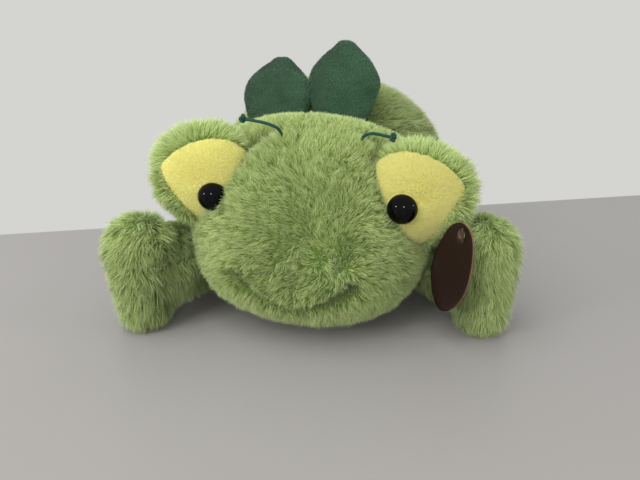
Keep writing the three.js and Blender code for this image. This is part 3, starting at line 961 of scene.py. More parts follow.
    def _pieces(self, lines: np.ndarray, normals: np.ndarray, tone: np.ndarray,
                rng: np.random.Generator) -> list[bpy.types.Object]:
        """Ribbons along strands, in pieces of a limited size from one side to the other.

        Args:
            lines: Points of each strand.
            normals: The skin's normals at the roots.
            tone: Each strand's tone from 0 to 1.
            rng: Source of the chances.

        Returns:
            The pieces.
        """
        tangents = unit(lines[:, -1] - lines[:, 0])
        flat = unit(np.cross(tangents, normals) + 1e-6)
        twist = rng.normal(size=len(lines))[:, None] * self.twist
        sideways = unit(flat * np.cos(twist) + np.cross(tangents, flat) * np.sin(twist))
        least, more = self.width_range
        halves = self.width / 2 * (least + more * rng.random(len(lines)))
        column = np.floor(tone * self.tones) / self.tones
        order = np.argsort(lines[:, 0, 0], kind="stable")
        groups = np.array_split(order, max(1, math.ceil(len(order) / self.most)))
        pieces = []
        for number, group in enumerate(groups, start=1):
            name = self.name if len(groups) == 1 else f"{self.name}_{number}"
            pieces.append(self._ribbons(name, lines[group], sideways[group], halves[group], column[group]))
        return pieces

    def _ribbons(self, name: str, lines: np.ndarray, sideways: np.ndarray, halves: np.ndarray,
                 column: np.ndarray) -> bpy.types.Object:
        """One piece of ribbons.

        Args:
            name: The piece's name.
            lines: Points of each strand.
            sideways: Direction across each ribbon.
            halves: Half width of each ribbon at its root.
            column: Left edge of each strand's column in the colour map.

        Returns:
            The piece.
        """
        count, steps = len(lines), len(self.levels)
        spread = sideways[:, None, :] * (halves[:, None] * np.array(self.taper)[None, :])[:, :, None]
        paired = np.stack([lines - spread, lines + spread], axis=2)[:, :-1].reshape(count, -1, 3)
        corners = np.concatenate([paired, lines[:, -1:]], axis=1)
        each = corners.shape[1]
        pattern = []
        for step in range(steps - 2):
            low = 2 * step
            pattern += [[low, low + 1, low + 3], [low, low + 3, low + 2]]
        pattern.append([each - 3, each - 2, each - 1])
        faces = (np.arange(count)[:, None, None] * each + np.array(pattern)[None]).reshape(-1, 3)
        tall = np.repeat(np.array(self.levels[:-1]), 2).tolist() + [1.0]
        wide = [*self.map_sides] * (steps - 1) + [0.5]
        places = np.empty((count, each, 2))
        places[:, :, 0] = column[:, None] + np.array(wide)[None, :] / self.tones
        places[:, :, 1] = self.map_margin + (1 - 2 * self.map_margin) * np.array(tall)[None, :]
        mapped = places.reshape(-1, 2)[faces.ravel()]
        return object_of(name, corners.reshape(-1, 3), faces, self.material, mapped)


# The toy's frame


@dataclass
class Toy:
    """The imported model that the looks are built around."""

    frame: dict[str, Any]

    def points(self, *nodes: str) -> np.ndarray:
        """Corners of some of the frame's solids."""
        return np.vstack([corner_points(self.frame["nodes"][node]) for node in nodes])

    def hull(self, *nodes: str) -> Hull:
        """Convex form around some of the frame's solids."""
        return Hull.around(self.points(*nodes))

    def middle(self, node: str) -> np.ndarray:
        """Middle of a solid's box."""
        low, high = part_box(node)
        return np.array((low + high) / 2)

    def _joint_record(self, name: str) -> dict[str, Any]:
        """What the record says of a joint."""
        return next(joint for joint in self.frame["record"]["behaviour"]["joints"] if joint["name"] == name)

    def joint(self, name: str) -> tuple[np.ndarray, np.ndarray]:
        """A joint's place and axis."""
        found = self._joint_record(name)
        return np.array(found["pos_m"]), unit(np.array(found["axis"], float))

    def swept(self, node: str, joint: str) -> list[Hull]:
        """Convex forms of a solid at rest and at both limits of its joint.

        Args:
            node: The solid that moves.
            joint: The joint that moves it.

        Returns:
            The three forms.
        """
        place, axis = self.joint(joint)
        forms = []
        for angle in (0.0, *self._joint_record(joint)["range_deg"]):
            turn = np.array(Matrix.Rotation(math.radians(angle), 3, Vector(axis)))
            forms.append(Hull.around(place + (self.points(node) - place) @ turn.T))
        return forms

    def dress(self, node: str, material: bpy.types.Material) -> None:
        """Give a solid of the frame a better material."""
        solid = self.frame["nodes"][node]
        solid.data.materials.clear()
        solid.data.materials.append(material)


def declare(piece: bpy.types.Object, body: str, slot: str, *nodes: str) -> None:
    """Let a piece ride on a body, hide the solids that it stands for and log its faces."""
    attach(piece, body)
    if nodes:
        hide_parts(*nodes)
    LOG.info("%s: %d faces", piece.name, len(piece.data.polygons))


# Camera, light and table


@dataclass(frozen=True)
class Lamp:
    """A square lamp that faces the toy: where it hangs, its side, its power and whether gloss mirrors it."""

    name: str
    place: Place
    size: float
    power: float
    mirrored: bool = True


@dataclass
class Studio:
    """Camera at the photograph's viewing angle, soft light and a pale table."""

    aim: Place = (10.5 * MM, -150 * MM, 54 * MM)
    azimuth: float = 8.0
    pitch: float = 18.0
    reach: float = 245 * MM
    lens: float = 28.125
    sensor: float = 36.0
    table_back: float = 106 * MM
    table_slope: float = 0.39
    table_reach: float = 2.4
    world_light: float = 0.62
    backdrop: Colour = paint_colour(212, 212, 209)
    lamps: tuple[Lamp, ...] = (
        Lamp("overhead", (-0.4, -0.5, 1.05), 0.9, 5.0, False),
        Lamp("window", (-0.6, -1.0, 0.7), 0.7, 3.2, False),
        Lamp("side_left", (-0.8, -0.85, 0.36), 0.1, 1.8),
        Lamp("side_middle", (0.08, -1.05, 0.38), 0.09, 1.3),
        Lamp("side_right", (1.0, -0.2, 0.4), 0.1, 0.8),
    )

    def camera(self) -> None:
        """Place the camera."""
        turn, tilt = math.radians(self.azimuth), math.radians(self.pitch)
        forward = Vector((-math.sin(turn) * math.cos(tilt), math.cos(turn) * math.cos(tilt), -math.sin(tilt)))
        data = bpy.data.cameras.new("photo_camera")
        data.lens = self.lens
        data.sensor_width = self.sensor
        made = bpy.data.objects.new("photo_camera", data)
        made.location = Vector(self.aim) - forward * (self.reach / math.cos(tilt))
        made.rotation_euler = forward.to_track_quat("-Z", "Y").to_euler()
        bpy.context.scene.collection.objects.link(made)
        bpy.context.scene.camera = made

    def table(self, material: bpy.types.Material) -> None:
        """Lay a pale table top under the toy."""
        wide = self.table_reach
        corners = np.array([
            [-wide, -wide, 0],
            [wide, -wide, 0],
            [wide, self.table_back + self.table_slope * wide, 0],
            [-wide, self.table_back - self.table_slope * wide, 0],
        ])
        object_of("table_top", corners, np.array([[0, 1, 2, 3]]), material)

    def lights(self) -> None:
        """Hang the lamps and light the room."""
        for lamp in self.lamps:
            self._hang(lamp)
        world = bpy.data.worlds.new("room")
        world.use_nodes = True
        room = Shading(world.node_tree)
        ray = room.node("ShaderNodeLightPath")
        seen = sum((Value(room, ray.outputs[f"Is {kind} Ray"]) for kind in ("Glossy", "Transmission")),
                   Value(room, ray.outputs["Is Camera Ray"]))
        light = room.output("ShaderNodeBackground", {}, {"Color": (1, 1, 1, 1), "Strength": self.world_light})
        backdrop = room.output("ShaderNodeBackground", {}, {"Color": self.backdrop, "Strength": 1.0})
        mixed = room.output("ShaderNodeMixShader", {}, {0: seen, 1: light, 2: backdrop})
        room.node("ShaderNodeOutputWorld", {}, {"Surface": mixed})
        bpy.context.scene.world = world

    def _hang(self, lamp: Lamp) -> None:
        """Hang a lamp so that it faces the toy."""
        data = bpy.data.lights.new(lamp.name, "AREA")
        data.size = lamp.size
        data.energy = lamp.power
        made = bpy.data.objects.new(lamp.name, data)
        made.location = lamp.place
        made.rotation_euler = (Vector(self.aim) - Vector(lamp.place)).to_track_quat("-Z", "Y").to_euler()
        made.visible_glossy = lamp.mirrored
        bpy.context.scene.collection.objects.link(made)

    def build(self, wardrobe: Wardrobe) -> None:
        """Set up the whole studio."""
        bpy.context.scene.view_settings.view_transform = "Standard"
        self.camera()
        self.table(wardrobe.floor)
        self.lights()


# Antennae


@dataclass
class Antenna:
    """A twisted cord that stands out of the head and ends in a knot."""

    side: Side
    stations: tuple[Place, ...]
    diameter: float = 1.8 * MM
    steps: int = 60
    sides: int = 18
    plies: int = 3
    turns: float = 9.0
    knot_width: float = 4.6 * MM
    knot_lead: int = 4
    knot_steps: int = 72
    knot_sides: int = 12
    knot_height: float = 1.3
    knot_scale: float = 0.85 / 6
    knot_ply: float = 0.42

    def build(self, toy: Toy, wardrobe: Wardrobe, head: "Head") -> np.ndarray:
        """Make the cord and its knot.

        Args:
            toy: The frame.
            wardrobe: The materials.
            head: The head that carries it.

        Returns:
            Points of the cord, from the head to the knot.
        """
        word = self.side.word
        tie = toy.middle(f"{word}_antenna_knot")
        path = smooth_path([*(head.placed(station) for station in self.stations), tie], self.steps)
        radii = np.full(self.steps, self.diameter / 2)
        twisted = tube_mesh(path, radii, self.sides, self.plies, self.turns)
        cord = object_of(f"{word}_antenna_cord", *twisted, wardrobe.cord)
        declare(cord, "head", "cord", f"{word}_antenna")
        knot = self._knot(tie, unit(path[-1] - path[-self.knot_lead]), wardrobe.cord)
        declare(knot, "head", "cord", f"{word}_antenna_knot")
        return path

    def _knot(self, middle: np.ndarray, away: np.ndarray, material: bpy.types.Material) -> bpy.types.Object:
        """A pulled overhand knot at the cord's end.

        Args:
            middle: The knot's middle.
            away: The cord's direction there.
            material: The cord's material.

        Returns:
            The knot.
        """
        turn = np.linspace(0, 2 * math.pi, self.knot_steps, endpoint=False)
        loop = np.stack([np.sin(turn) + 2 * np.sin(2 * turn), np.cos(turn) - 2 * np.cos(2 * turn),
                         -self.knot_height * np.sin(3 * turn)], axis=1)
        across = unit(np.cross(away, [0.0, 0.0, 1.0]))
        basis = np.stack([across, np.cross(away, across), away], axis=0)
        path = middle + loop @ basis * self.knot_width * self.knot_scale
        radii = np.full(len(path), self.diameter * self.knot_ply)
        ring = tube_mesh(path, radii, self.knot_sides, closed=True)
        return object_of(f"{self.side.word}_antenna_tie", *ring, material)


# Head


@dataclass
class Head:
    """The wide head: fur combed out from the nose, and a smile pulled into it."""

    roll: float = 4.0
    inset: float = 0.4 * MM
    voxel: float = 2.0 * MM
    nose: Place = (13.0, -64.0, -3.0)
    nose_still: float = 16 * MM
    nose_stir: float = 1.6
    stir_cell: float = 8 * MM
    stir_seeds: tuple[int, ...] = (21, 22, 23)
    comb_reach: float = 45 * MM
    comb_range: tuple[float, float] = (0.45, 0.9)
    whorl: float = 11 * MM
    # Painted light at the nose's whorl and, below, on top of the head.
    whorl_light: float = 0.25
    top_light: tuple[float, float] = (0.12, 0.2)
    smile_parts: int = 14
    smile_steps: int = 90
    crease_depths: tuple[float, ...] = (0.0, 0.35, 0.7, 1.05)
    crease_bare: tuple[float, float] = (1.7 * MM, 1.1 * MM)
    crease_trim: tuple[tuple[float, float], ...] = ((0.6, 4.5 * MM), (0.62, 6.5 * MM))
    # Painted shade in and just below the smile's crease.
    crease_dark: tuple[float, float] = (1.1, 0.6)
    crease_dark_reach: float = 3.2 * MM
    crease_push: float = 0.3
    crease_push_reach: float = 7 * MM
    corner_bare: float = 3.4 * MM
    # Radius of the smile's stitch, thick so that it also serves as the crease's painted shadow.
    thread: float = 1.3 * MM
    thread_depth: float = 0.3
    thread_sides: int = 10
    thread_plies: int = 2
    thread_turns: float = 24.0
    groove_depth: float = 6.5 * MM
    groove_reach: float = 3.0 * MM
    lip: float = 2.6 * MM
    lip_step: float = 2 * MM
    lip_offset: float = 6 * MM
    lip_reach: float = 4 * MM
    lower_lip: float = 0.25
    overhang: float = 0.8 * MM
    overhang_offset: float = 4 * MM
    overhang_reach: float = 3 * MM
    tuck: float = 4.5 * MM
    tuck_reach: float = 4 * MM
    fold_depth: float = 3.4 * MM
    fold_reach: float = 2.8 * MM
    fold_steps: int = 24
    fold_trim: float = 0.5
    fold_trim_reach: float = 3 * MM
    # Painted shade in the folds beside the brow.
    fold_dark: float = 0.6
    fold_dark_reach: float = 2.4 * MM
    folds: tuple[tuple[Place, ...], ...] = (
        ((-36.0, -28.5, 34.0), (-33.9, -26.8, 37.3), (-27.3, -23.1, 43.3), (-18.5, -21.4, 47.1)),
        ((37.0, -25.0, 36.5), (35.4, -22.9, 39.8), (31.5, -18.0, 45.2), (25.1, -15.8, 49.1)),
    )
    lumps: float = 1.0 * MM
    lump_cell: float = 22 * MM
    lump_seed: int = 3
    parting_x: float = -4.0
    parting_reach: float = 9.0
    parting_push: float = 0.5
    parting_rise: tuple[float, float] = (20.0, 20.0)
    parting_line: float = 2.2
    parting_line_rise: tuple[float, float] = (25.0, 15.0)
    # Painted shade along the parting on the brow.
    parting_dark: float = 0.15
    crown: float = 40 * MM
    crown_reach: float = 12 * MM
    crown_trim: float = 0.25
    cord_parting: float = 3.4 * MM
    cord_trim: float = 0.65
    # Painted shade in the nooks where the lobes meet the head.
    nook_reach: float = 4 * MM
    nook_dark: float = 0.3
    tuft_reach: float = 5 * MM
    body_cover: float = 9 * MM
    lobe_gap: float = 0.8 * MM
    foot_steps: int = 14
    tuft: float = 0.9
    tuft_ahead: float = 3 * MM
    density: float = 3.2e6
    length: float = 6.0 * MM
    width: float = 0.24 * MM
    centre: np.ndarray = field(default_factory=lambda: np.zeros(3))
    hull: Optional[Hull] = None

    def measure(self, toy: Toy) -> None:
        """Take the head's middle and form from the frame."""
        self.centre, _ = toy.joint("head_nod")
        self.hull = toy.hull("head_cover")

    def placed(self, place: Sequence[float]) -> np.ndarray:
        """A place in the toy's frame from one in millimetres from the head's middle."""
        turn = Matrix.Rotation(math.radians(self.roll), 3, "Y")
        return self.centre + np.array(turn @ Vector(place)) * MM

    def smile_path(self, toy: Toy) -> np.ndarray:
        """Middle line of the mouth's stitch, from the frame's solid."""
        points = toy.points("mouth_stitch")
        edges = np.linspace(points[:, 0].min(), points[:, 0].max(), self.smile_parts + 1)
        stations = []
        for low, high in zip(edges, edges[1:]):
            inside = points[(points[:, 0] >= low) & (points[:, 0] <= high)]
            if len(inside):
                stations.append(inside.mean(axis=0))
        return smooth_path(stations, self.smile_steps)

    def build(self, toy: Toy, wardrobe: Wardrobe, others: Sequence[Hull], trunk: Hull,
              cords: Sequence[np.ndarray]) -> None:
        """Make the head's skin, fur and smile.

        Args:
            toy: The frame.
            wardrobe: The materials.
            others: Forms that stand on the head and hide its fur.
            trunk: The body's form, which hides the back of the head.
            cords: Points of the antennae: the fur stands up around their feet and parts beside their
                free halves.
        """
        smile = self.smile_path(toy)
        inwards = unit(self.centre - smile) * self.groove_depth
        crease = np.vstack([(smile + inwards * share)[::2] for share in self.crease_depths])
        folds = np.vstack([smooth_path([self.placed(station) for station in fold], self.fold_steps)
                           for fold in self.folds])
        skin = Skin(self.voxel, inset=self.inset).over("head_skin", [self.hull], wardrobe.backing)
        self._pull_smile(skin, smile)
        self._press_folds(skin, folds)
        declare(skin, "head", "fur", "head_cover", "head_stuffing")
        thread = self._thread(smile, wardrobe.thread)
        declare(thread, "head", "thread", "mouth_stitch")
        pile = Pile("head_pile", wardrobe.fur, self.density, self.length, self.width, seed=11)
        nose = self.placed(self.nose)
        feet = np.vstack([cord[:self.foot_steps] for cord in cords]) - np.array([0, self.tuft_ahead, 0])
        free = np.vstack([cord[len(cord) // 2:] for cord in cords])

        def comb(points: np.ndarray, normals: np.ndarray) -> np.ndarray:
            """Away from the nose, from the smile and from the parting on the brow."""
            reach = np.linalg.norm(points - nose, axis=1)
            flow = unit(points - nose) * np.clip(reach / self.comb_reach, *self.comb_range)[:, None]
            stir = np.stack([lattice_noise(points, self.stir_cell, seed) for seed in self.stir_seeds], axis=1)
            flow += self.nose_stir * stir * bell(reach, self.nose_still)[:, None]
            distance, nearest = nearest_distance(points, crease)
            towards = unit(crease[nearest] - points)
            against = np.clip(dots(flow, towards), 0, 1) + self.crease_push
            flow -= towards * against * bell(distance, self.crease_push_reach)[:, None]
            local = (points - self.centre) / MM
            beside = local[:, 0] - self.parting_x
            start, height = self.parting_rise
            brow = bell(beside, self.parting_reach) * np.clip((local[:, 2] - start) / height, 0, 1)
            flow[:, 0] += np.sign(beside) * brow * self.parting_push
            return flow

        def trim(points: np.ndarray, normals: np.ndarray) -> np.ndarray:
            """Shorter beside the smile and the cords, none where another form covers the head."""
            distance, nearest = nearest_distance(points, crease)
            below = points[:, 2] < crease[nearest, 2]
            lower, upper = (most * bell(distance, reach) for most, reach in self.crease_trim)
            share = 1 - np.where(below, lower, upper)
            share[distance < np.where(below, *self.crease_bare)] = 0
            share[np.linalg.norm(points - smile[-1], axis=1) < self.corner_bare] = 0
            rise = np.clip((points[:, 2] - self.centre[2] - self.crown) / self.crown_reach, 0, 1)
            share *= 1 - self.crown_trim * rise
            beside, _ = nearest_distance(points, free)
            share = share * (1 - self.cord_trim * bell(beside, self.cord_parting))
            creased, _ = nearest_distance(points, folds)
            share = share * (1 - self.fold_trim * bell(creased, self.fold_trim_reach))
            standing, _ = nearest_distance(points, feet)
            share += self.tuft * bell(standing, self.tuft_reach)
            for other in others:
                share[other.depth(points) > -self.lobe_gap] = 0
            share[trunk.depth(points) > self.body_cover] = 0
            return share

        def shade(points: np.ndarray, normals: np.ndarray) -> np.ndarray:
            """Painted shade in the smile's crease, the folds, the parting and beside the lobes; painted light
            on top and at the nose's whorl.
            """
            distance, nearest = nearest_distance(points, crease)
            crease_shading = np.where(points[:, 2] < crease[nearest, 2], *self.crease_dark)
            crease_shading = crease_shading * bell(distance, self.crease_dark_reach)
            creased, _ = nearest_distance(points, folds)
            whorl = bell(np.linalg.norm(points - nose, axis=1), self.whorl)
            local = (points - self.centre) / MM
            start, height = self.parting_line_rise
            parting = bell(local[:, 0] - self.parting_x, self.parting_line)
            parting = parting * np.clip((local[:, 2] - start) / height, 0, 1)
            nook = np.max([other.depth(points) for other in others], axis=0)
            every, upper = self.top_light
            light = every * normals[:, 2] + upper * np.clip(normals[:, 2], 0, 1) - crease_shading
            light = light + self.whorl_light * whorl - self.parting_dark * parting
            light = light - self.nook_dark * bell(nook, self.nook_reach)
            return light - self.fold_dark * bell(creased, self.fold_dark_reach)

        for piece in pile.grow(skin, comb, trim, shade):
            declare(piece, "head", "fur")

    def _pull_smile(self, skin: bpy.types.Object, smile: np.ndarray) -> None:
        """Pull the smile into the skin, with an upper lip that hangs over it and a tuck at its left end."""
        points, normals = corner_points(skin), corner_normals(skin)
        distance, nearest = nearest_distance(points, smile)
        above = np.clip((points[:, 2] - smile[nearest, 2]) / self.lip_step, 0, 1) * (distance < FAR)
        corner = np.linalg.norm(points - smile[-1], axis=1)
        share = self.lower_lip + (1 - self.lower_lip) * above
        rise = self.lip * bell(distance - self.lip_offset, self.lip_reach) * share
        pull = self.groove_depth * bell(distance, self.groove_reach)
        pull = pull + self.tuck * bell(corner, self.tuck_reach)
        drop = self.overhang * bell(distance - self.overhang_offset, self.overhang_reach) * above
        moved = points + normals * (rise - pull)[:, None]
        moved[:, 2] -= drop
        move_corners(skin, moved)

    def _press_folds(self, skin: bpy.types.Object, folds: np.ndarray) -> None:
        """Press the folds beside the brow into the skin and make the stuffing a little uneven."""
        points, normals = corner_points(skin), corner_normals(skin)
        distance, _ = nearest_distance(points, folds)
        lump = self.lumps * lattice_noise(points, self.lump_cell, self.lump_seed)
        press = self.fold_depth * bell(distance, self.fold_reach)
        move_corners(skin, points + normals * (lump - press)[:, None])

    def _thread(self, smile: np.ndarray, material: bpy.types.Material) -> bpy.types.Object:
        """The stitch that holds the smile, sunk into the crease, thick and dark so that it also serves as the
        crease's painted shadow.
        """
        inwards = unit(self.centre - smile) * self.groove_depth * self.thread_depth
        radii = np.full(len(smile), self.thread)
        mesh = tube_mesh(smile + inwards, radii, self.thread_sides, self.thread_plies, self.thread_turns)
        return object_of("smile_thread", *mesh, material)


# Eye lobes


@dataclass
class EyeLobe:
    """A lobe beside the head: fur behind, a yellow patch in front and a domed black eye."""

    side: Side
    cover: tuple[float, float]
    cover_reach: float
    # Painted shade on the patch's nap, darker on the patch that lies in shade.
    nap_tone: float
    lobe_voxel: float = 1.8 * MM
    lobe_rounds: int = 8
    patch_voxel: float = 1.1 * MM
    patch_rounds: int = 14
    inset: float = 4.2 * MM
    fringe: float = 9.5 * MM
    fringe_width: float = 0.28 * MM
    fringe_density: float = 3.2e6
    # Painted light on the lobe's long fur: paler where light shines through it, and lighter on top.
    fringe_tone: float = 0.3
    fringe_top: float = 0.3
    backwards: float = 0.3
    nap: float = 0.9 * MM
    nap_width: float = 0.15 * MM
    nap_density: float = 11e6
    # Painted light on top of the patch's nap.
    nap_top: float = 0.2
    tag_room: float = 8 * MM
    eye_radius: float = 7.75 * MM
    eye_dome: float = 6.4 * MM
    eye_sink: float = 1.6 * MM
    eye_rim: tuple[float, float] = (0.94, 0.6)
    eye_pole: float = 0.04 * MM
    eye_cap: float = 0.6 * MM
    eye_rounds: int = 4
    eye_sides: int = 56
    eye_bends: int = 18
    shank_radius: float = 1.5 * MM
    shank_length: float = 9 * MM
    seam_reach: float = 0.8 * MM
    seam_gap: float = 0.4 * MM
    head_cover: float = 1 * MM
    eye_gap: float = 0.6 * MM
    edge_length: float = 0.8
    edge_growth: float = 4 * MM
    edge_shortest: float = 0.4

    def build(self, toy: Toy, wardrobe: Wardrobe, head: Head) -> None:
        """Make the lobe, its patch, its fur and its eye."""
        word = self.side.word
        whole = toy.hull(f"{word}_eye_lobe", f"{word}_eye_patch")
        form = Skin(self.lobe_voxel, self.lobe_rounds, self.inset)
        lobe = form.over(f"{word}_lobe_skin", [whole], wardrobe.backing)
        declare(lobe, "head", "fur", f"{word}_eye_lobe", f"{word}_lobe_stuffing")
        patch_hull = toy.hull(f"{word}_eye_patch")
        patch_form = Skin(self.patch_voxel, self.patch_rounds)
        patch = patch_form.over(f"{word}_patch_skin", [patch_hull], wardrobe.patch)
        declare(patch, "head", "patch", f"{word}_eye_patch")
        self._fringe(toy, lobe, patch, wardrobe, head)
        self._eye(toy, wardrobe)

    def _seam(self, toy: Toy) -> tuple[np.ndarray, np.ndarray]:
        """Plane of the seam between the lobe's fur and its patch.

        Args:
            toy: The frame.

        Returns:
            A point of the plane, and its normal on the patch's side.
        """
        patch = toy.points(f"{self.side.word}_eye_patch")
        lobe = toy.points(f"{self.side.word}_eye_lobe")
        gaps = np.linalg.norm(patch[:, None] - lobe[None], axis=2).min(axis=1)
        rim = patch[gaps < self.seam_reach]
        middle = rim.mean(axis=0)
        normal = np.linalg.svd(rim - middle)[2][2]
        return middle, normal * np.sign(float((patch.mean(axis=0) - middle) @ normal))

    def _fringe(self, toy: Toy, lobe: bpy.types.Object, patch: bpy.types.Object, wardrobe: Wardrobe,
                head: Head) -> None:
        """Long fur around the patch and over its outer lower edge, and a short nap on the patch.

        Args:
            toy: The frame.
            lobe: The lobe's skin.
            patch: The patch's skin.
            wardrobe: The materials.
            head: The head, which hides a part of the lobe.
        """
        word = self.side.word
        middle = corner_points(patch).mean(axis=0)
        eye = toy.hull(f"{word}_eye")
        tags = toy.swept("hang_tag", "tag_swing")
        seam, ahead = self._seam(toy)
        centre = corner_points(lobe).mean(axis=0)
        cover = np.array([self.cover[0], 0.0, self.cover[1]])

        def comb(points: np.ndarray, normals: np.ndarray) -> np.ndarray:
            """Outwards around the patch, a little backwards."""
            flow = points - middle
            flow[:, 1] = 0
            return unit(flow) + np.array([0, self.backwards, 0])

        def trim(points: np.ndarray, normals: np.ndarray) -> np.ndarray:
            """None under the patch and none inside the head."""
            share = np.ones(len(points))
            share[(points - seam) @ ahead > -self.seam_gap] = 0
            share[head.hull.depth(points) > self.head_cover] = 0
            return share

        def trim_edge(points: np.ndarray, normals: np.ndarray) -> np.ndarray:
            """Only on the patch's outer lower edge, longest outside, shorter where the tag swings."""
            beyond = (points - centre) @ cover - self.cover_reach
            share = np.clip(beyond / self.edge_growth, 0, 1 - self.edge_shortest) + self.edge_shortest
            share[beyond < 0] = 0
            share *= np.clip(-np.max([tag.depth(points) for tag in tags], axis=0) / self.tag_room, 0, 1)
            share[(points - seam) @ ahead < -self.seam_gap] = 0
            share[head.hull.depth(points) > self.head_cover] = 0
            return share

        def trim_nap(points: np.ndarray, normals: np.ndarray) -> np.ndarray:
            """Only on the bare part of the patch, and not under the eye."""
            share = np.ones(len(points))
            share[(points - seam) @ ahead < 0] = 0
            share[head.hull.depth(points) > 0] = 0
            share[eye.depth(points) > -self.eye_gap] = 0
            return share

        def shade(points: np.ndarray, normals: np.ndarray) -> np.ndarray:
            """Painted light: paler all over for the light that shines through the fringe, and lighter on top.
            """
            return self.fringe_tone + self.fringe_top * normals[:, 2]

        def shade_nap(points: np.ndarray, normals: np.ndarray) -> np.ndarray:
            """Painted shade on the patch that lies in shade, and painted light on top."""
            return self.nap_tone + self.nap_top * normals[:, 2]

        long = {"density": self.fringe_density, "width": self.fringe_width, "curl": 0.15, "sag": 0.05,
                "lock": 2.4 * MM, "seed": 31 + self.side.value}
        pile = Pile(f"{word}_lobe_pile", wardrobe.fur, length=self.fringe, **long)
        edge = Pile(f"{word}_edge_pile", wardrobe.fur, length=self.fringe * self.edge_length, **long)
        for piece in pile.grow(lobe, comb, trim, shade) + edge.grow(patch, comb, trim_edge, shade):
            declare(piece, "head", "fur")
        nap = Pile(f"{word}_patch_nap", wardrobe.patch_nap, self.nap_density, self.nap, self.nap_width,
                   lean=0.5, lock=1.0 * MM, gather=0.3, wander=0.14, swirl=0.4, seed=51 + self.side.value)
        for piece in nap.grow(patch, comb, trim_nap, shade_nap):
            declare(piece, "head", "patch")

    def _eye(self, toy: Toy, wardrobe: Wardrobe) -> None:
        """A domed safety eye with a rim and a shank."""
        word = self.side.word
        washer = toy.points(f"{word}_eye_washer").mean(axis=0)
        corners = toy.points(f"{word}_eye")
        reach = np.linalg.norm(corners - washer, axis=1)
        axis = unit(corners[reach.argmax()] - washer)
        for _ in range(self.eye_rounds):
            ahead = corners @ axis
            axis = unit(corners[ahead > ahead.max() - self.eye_cap].mean(axis=0) - washer)
        apex = washer + axis * float((corners @ axis).max() - washer @ axis)
        base = apex - axis * self.eye_dome
        bend = np.linspace(0, math.pi / 2, self.eye_bends)
        outline = [(self.shank_radius, -self.shank_length), (self.shank_radius, -self.eye_sink)]
        narrow, step = self.eye_rim
        outline += [(self.eye_radius * narrow, -self.eye_sink), (self.eye_radius, -self.eye_sink * step)]
        outline += [(self.eye_radius * math.cos(angle), self.eye_dome * math.sin(angle))
                    for angle in bend[:-1]]
        outline += [(self.eye_pole, self.eye_dome)]
        across = unit(np.cross(axis, [0.0, 0.0, 1.0]))
        upright = np.cross(across, axis)
        sides = self.eye_sides
        turn = np.linspace(0, 2 * math.pi, sides, endpoint=False)
        circle = np.cos(turn)[:, None] * across + np.sin(turn)[:, None] * upright
        rings = [base + axis * height + radius * circle for radius, height in outline]
        row = np.arange(len(rings) - 1)[:, None] * sides
        column = np.arange(sides)[None, :]
        following = (column + 1) % sides
        above = row + sides
        faces = np.stack([row + column, row + following, above + following, above + column], axis=2)
        dome = object_of(f"{word}_eye_dome", np.vstack(rings), faces.reshape(-1, 4), wardrobe.eye)
        declare(dome, "head", "eye", f"{word}_eye")
        toy.dress(f"{word}_eye_washer", wardrobe.washer)


# Body


@dataclass
class Trunk:
    """The stuffed body, combed backwards and down."""

    inset: float = 0.8 * MM
    density: float = 1.5e6
    length: float = 9.5 * MM
    width: float = 0.34 * MM
    voxel: float = 3.2 * MM
    head_cover: float = 4 * MM
    wing_room: float = 14 * MM
    belly: float = -0.93
    belly_share: float = 0.4
    brush: Place = (0.0, 0.8, -0.65)
    fan: float = 6.0
    # Painted shade: the body's fur is painted darker all over, for the shadow of the head and the wings.
    tone: float = -0.42
    top_light: float = 0.16
    hull: Optional[Hull] = None

    def build(self, toy: Toy, wardrobe: Wardrobe, head: Hull, wings: Sequence[Hull]) -> None:
        """Make the body's skin and fur.

        Args:
            toy: The frame.
            wardrobe: The materials.
            head: The head, which hides the fur under it.
            wings: The wings over their whole travel, which hide the fur under them and move over it.
        """
        skin = Skin(voxel=self.voxel, inset=self.inset).over("body_skin", [self.hull], wardrobe.backing)
        declare(skin, "trunk", "fur", "body_cover", "body_stuffing")

        def comb(points: np.ndarray, normals: np.ndarray) -> np.ndarray:
            """Backwards and down."""
            flow = np.tile(np.array(self.brush), (len(points), 1))
            flow[:, 0] = points[:, 0] * self.fan
            return flow

        def trim(points: np.ndarray, normals: np.ndarray) -> np.ndarray:
            """None where a form covers the body, short beside the wings and on the belly."""
            share = np.ones(len(points))
            share[head.depth(points) > self.head_cover] = 0
            share *= np.clip(-np.max([wing.depth(points) for wing in wings], axis=0) / self.wing_room, 0, 1)
            share[normals[:, 2] < self.belly] *= self.belly_share
            return share

        def shade(points: np.ndarray, normals: np.ndarray) -> np.ndarray:
            """Painted shade all over, for the shadow of the head and the wings, and painted light on top."""
            return self.top_light * normals[:, 2] + self.tone

        pile = Pile("body_pile", wardrobe.fur, self.density, self.length, self.width, lean=0.3, lock=2.4 * MM,
                    seed=71)
        for piece in pile.grow(skin, comb, trim, shade):
            declare(piece, "trunk", "fur")


# Arms


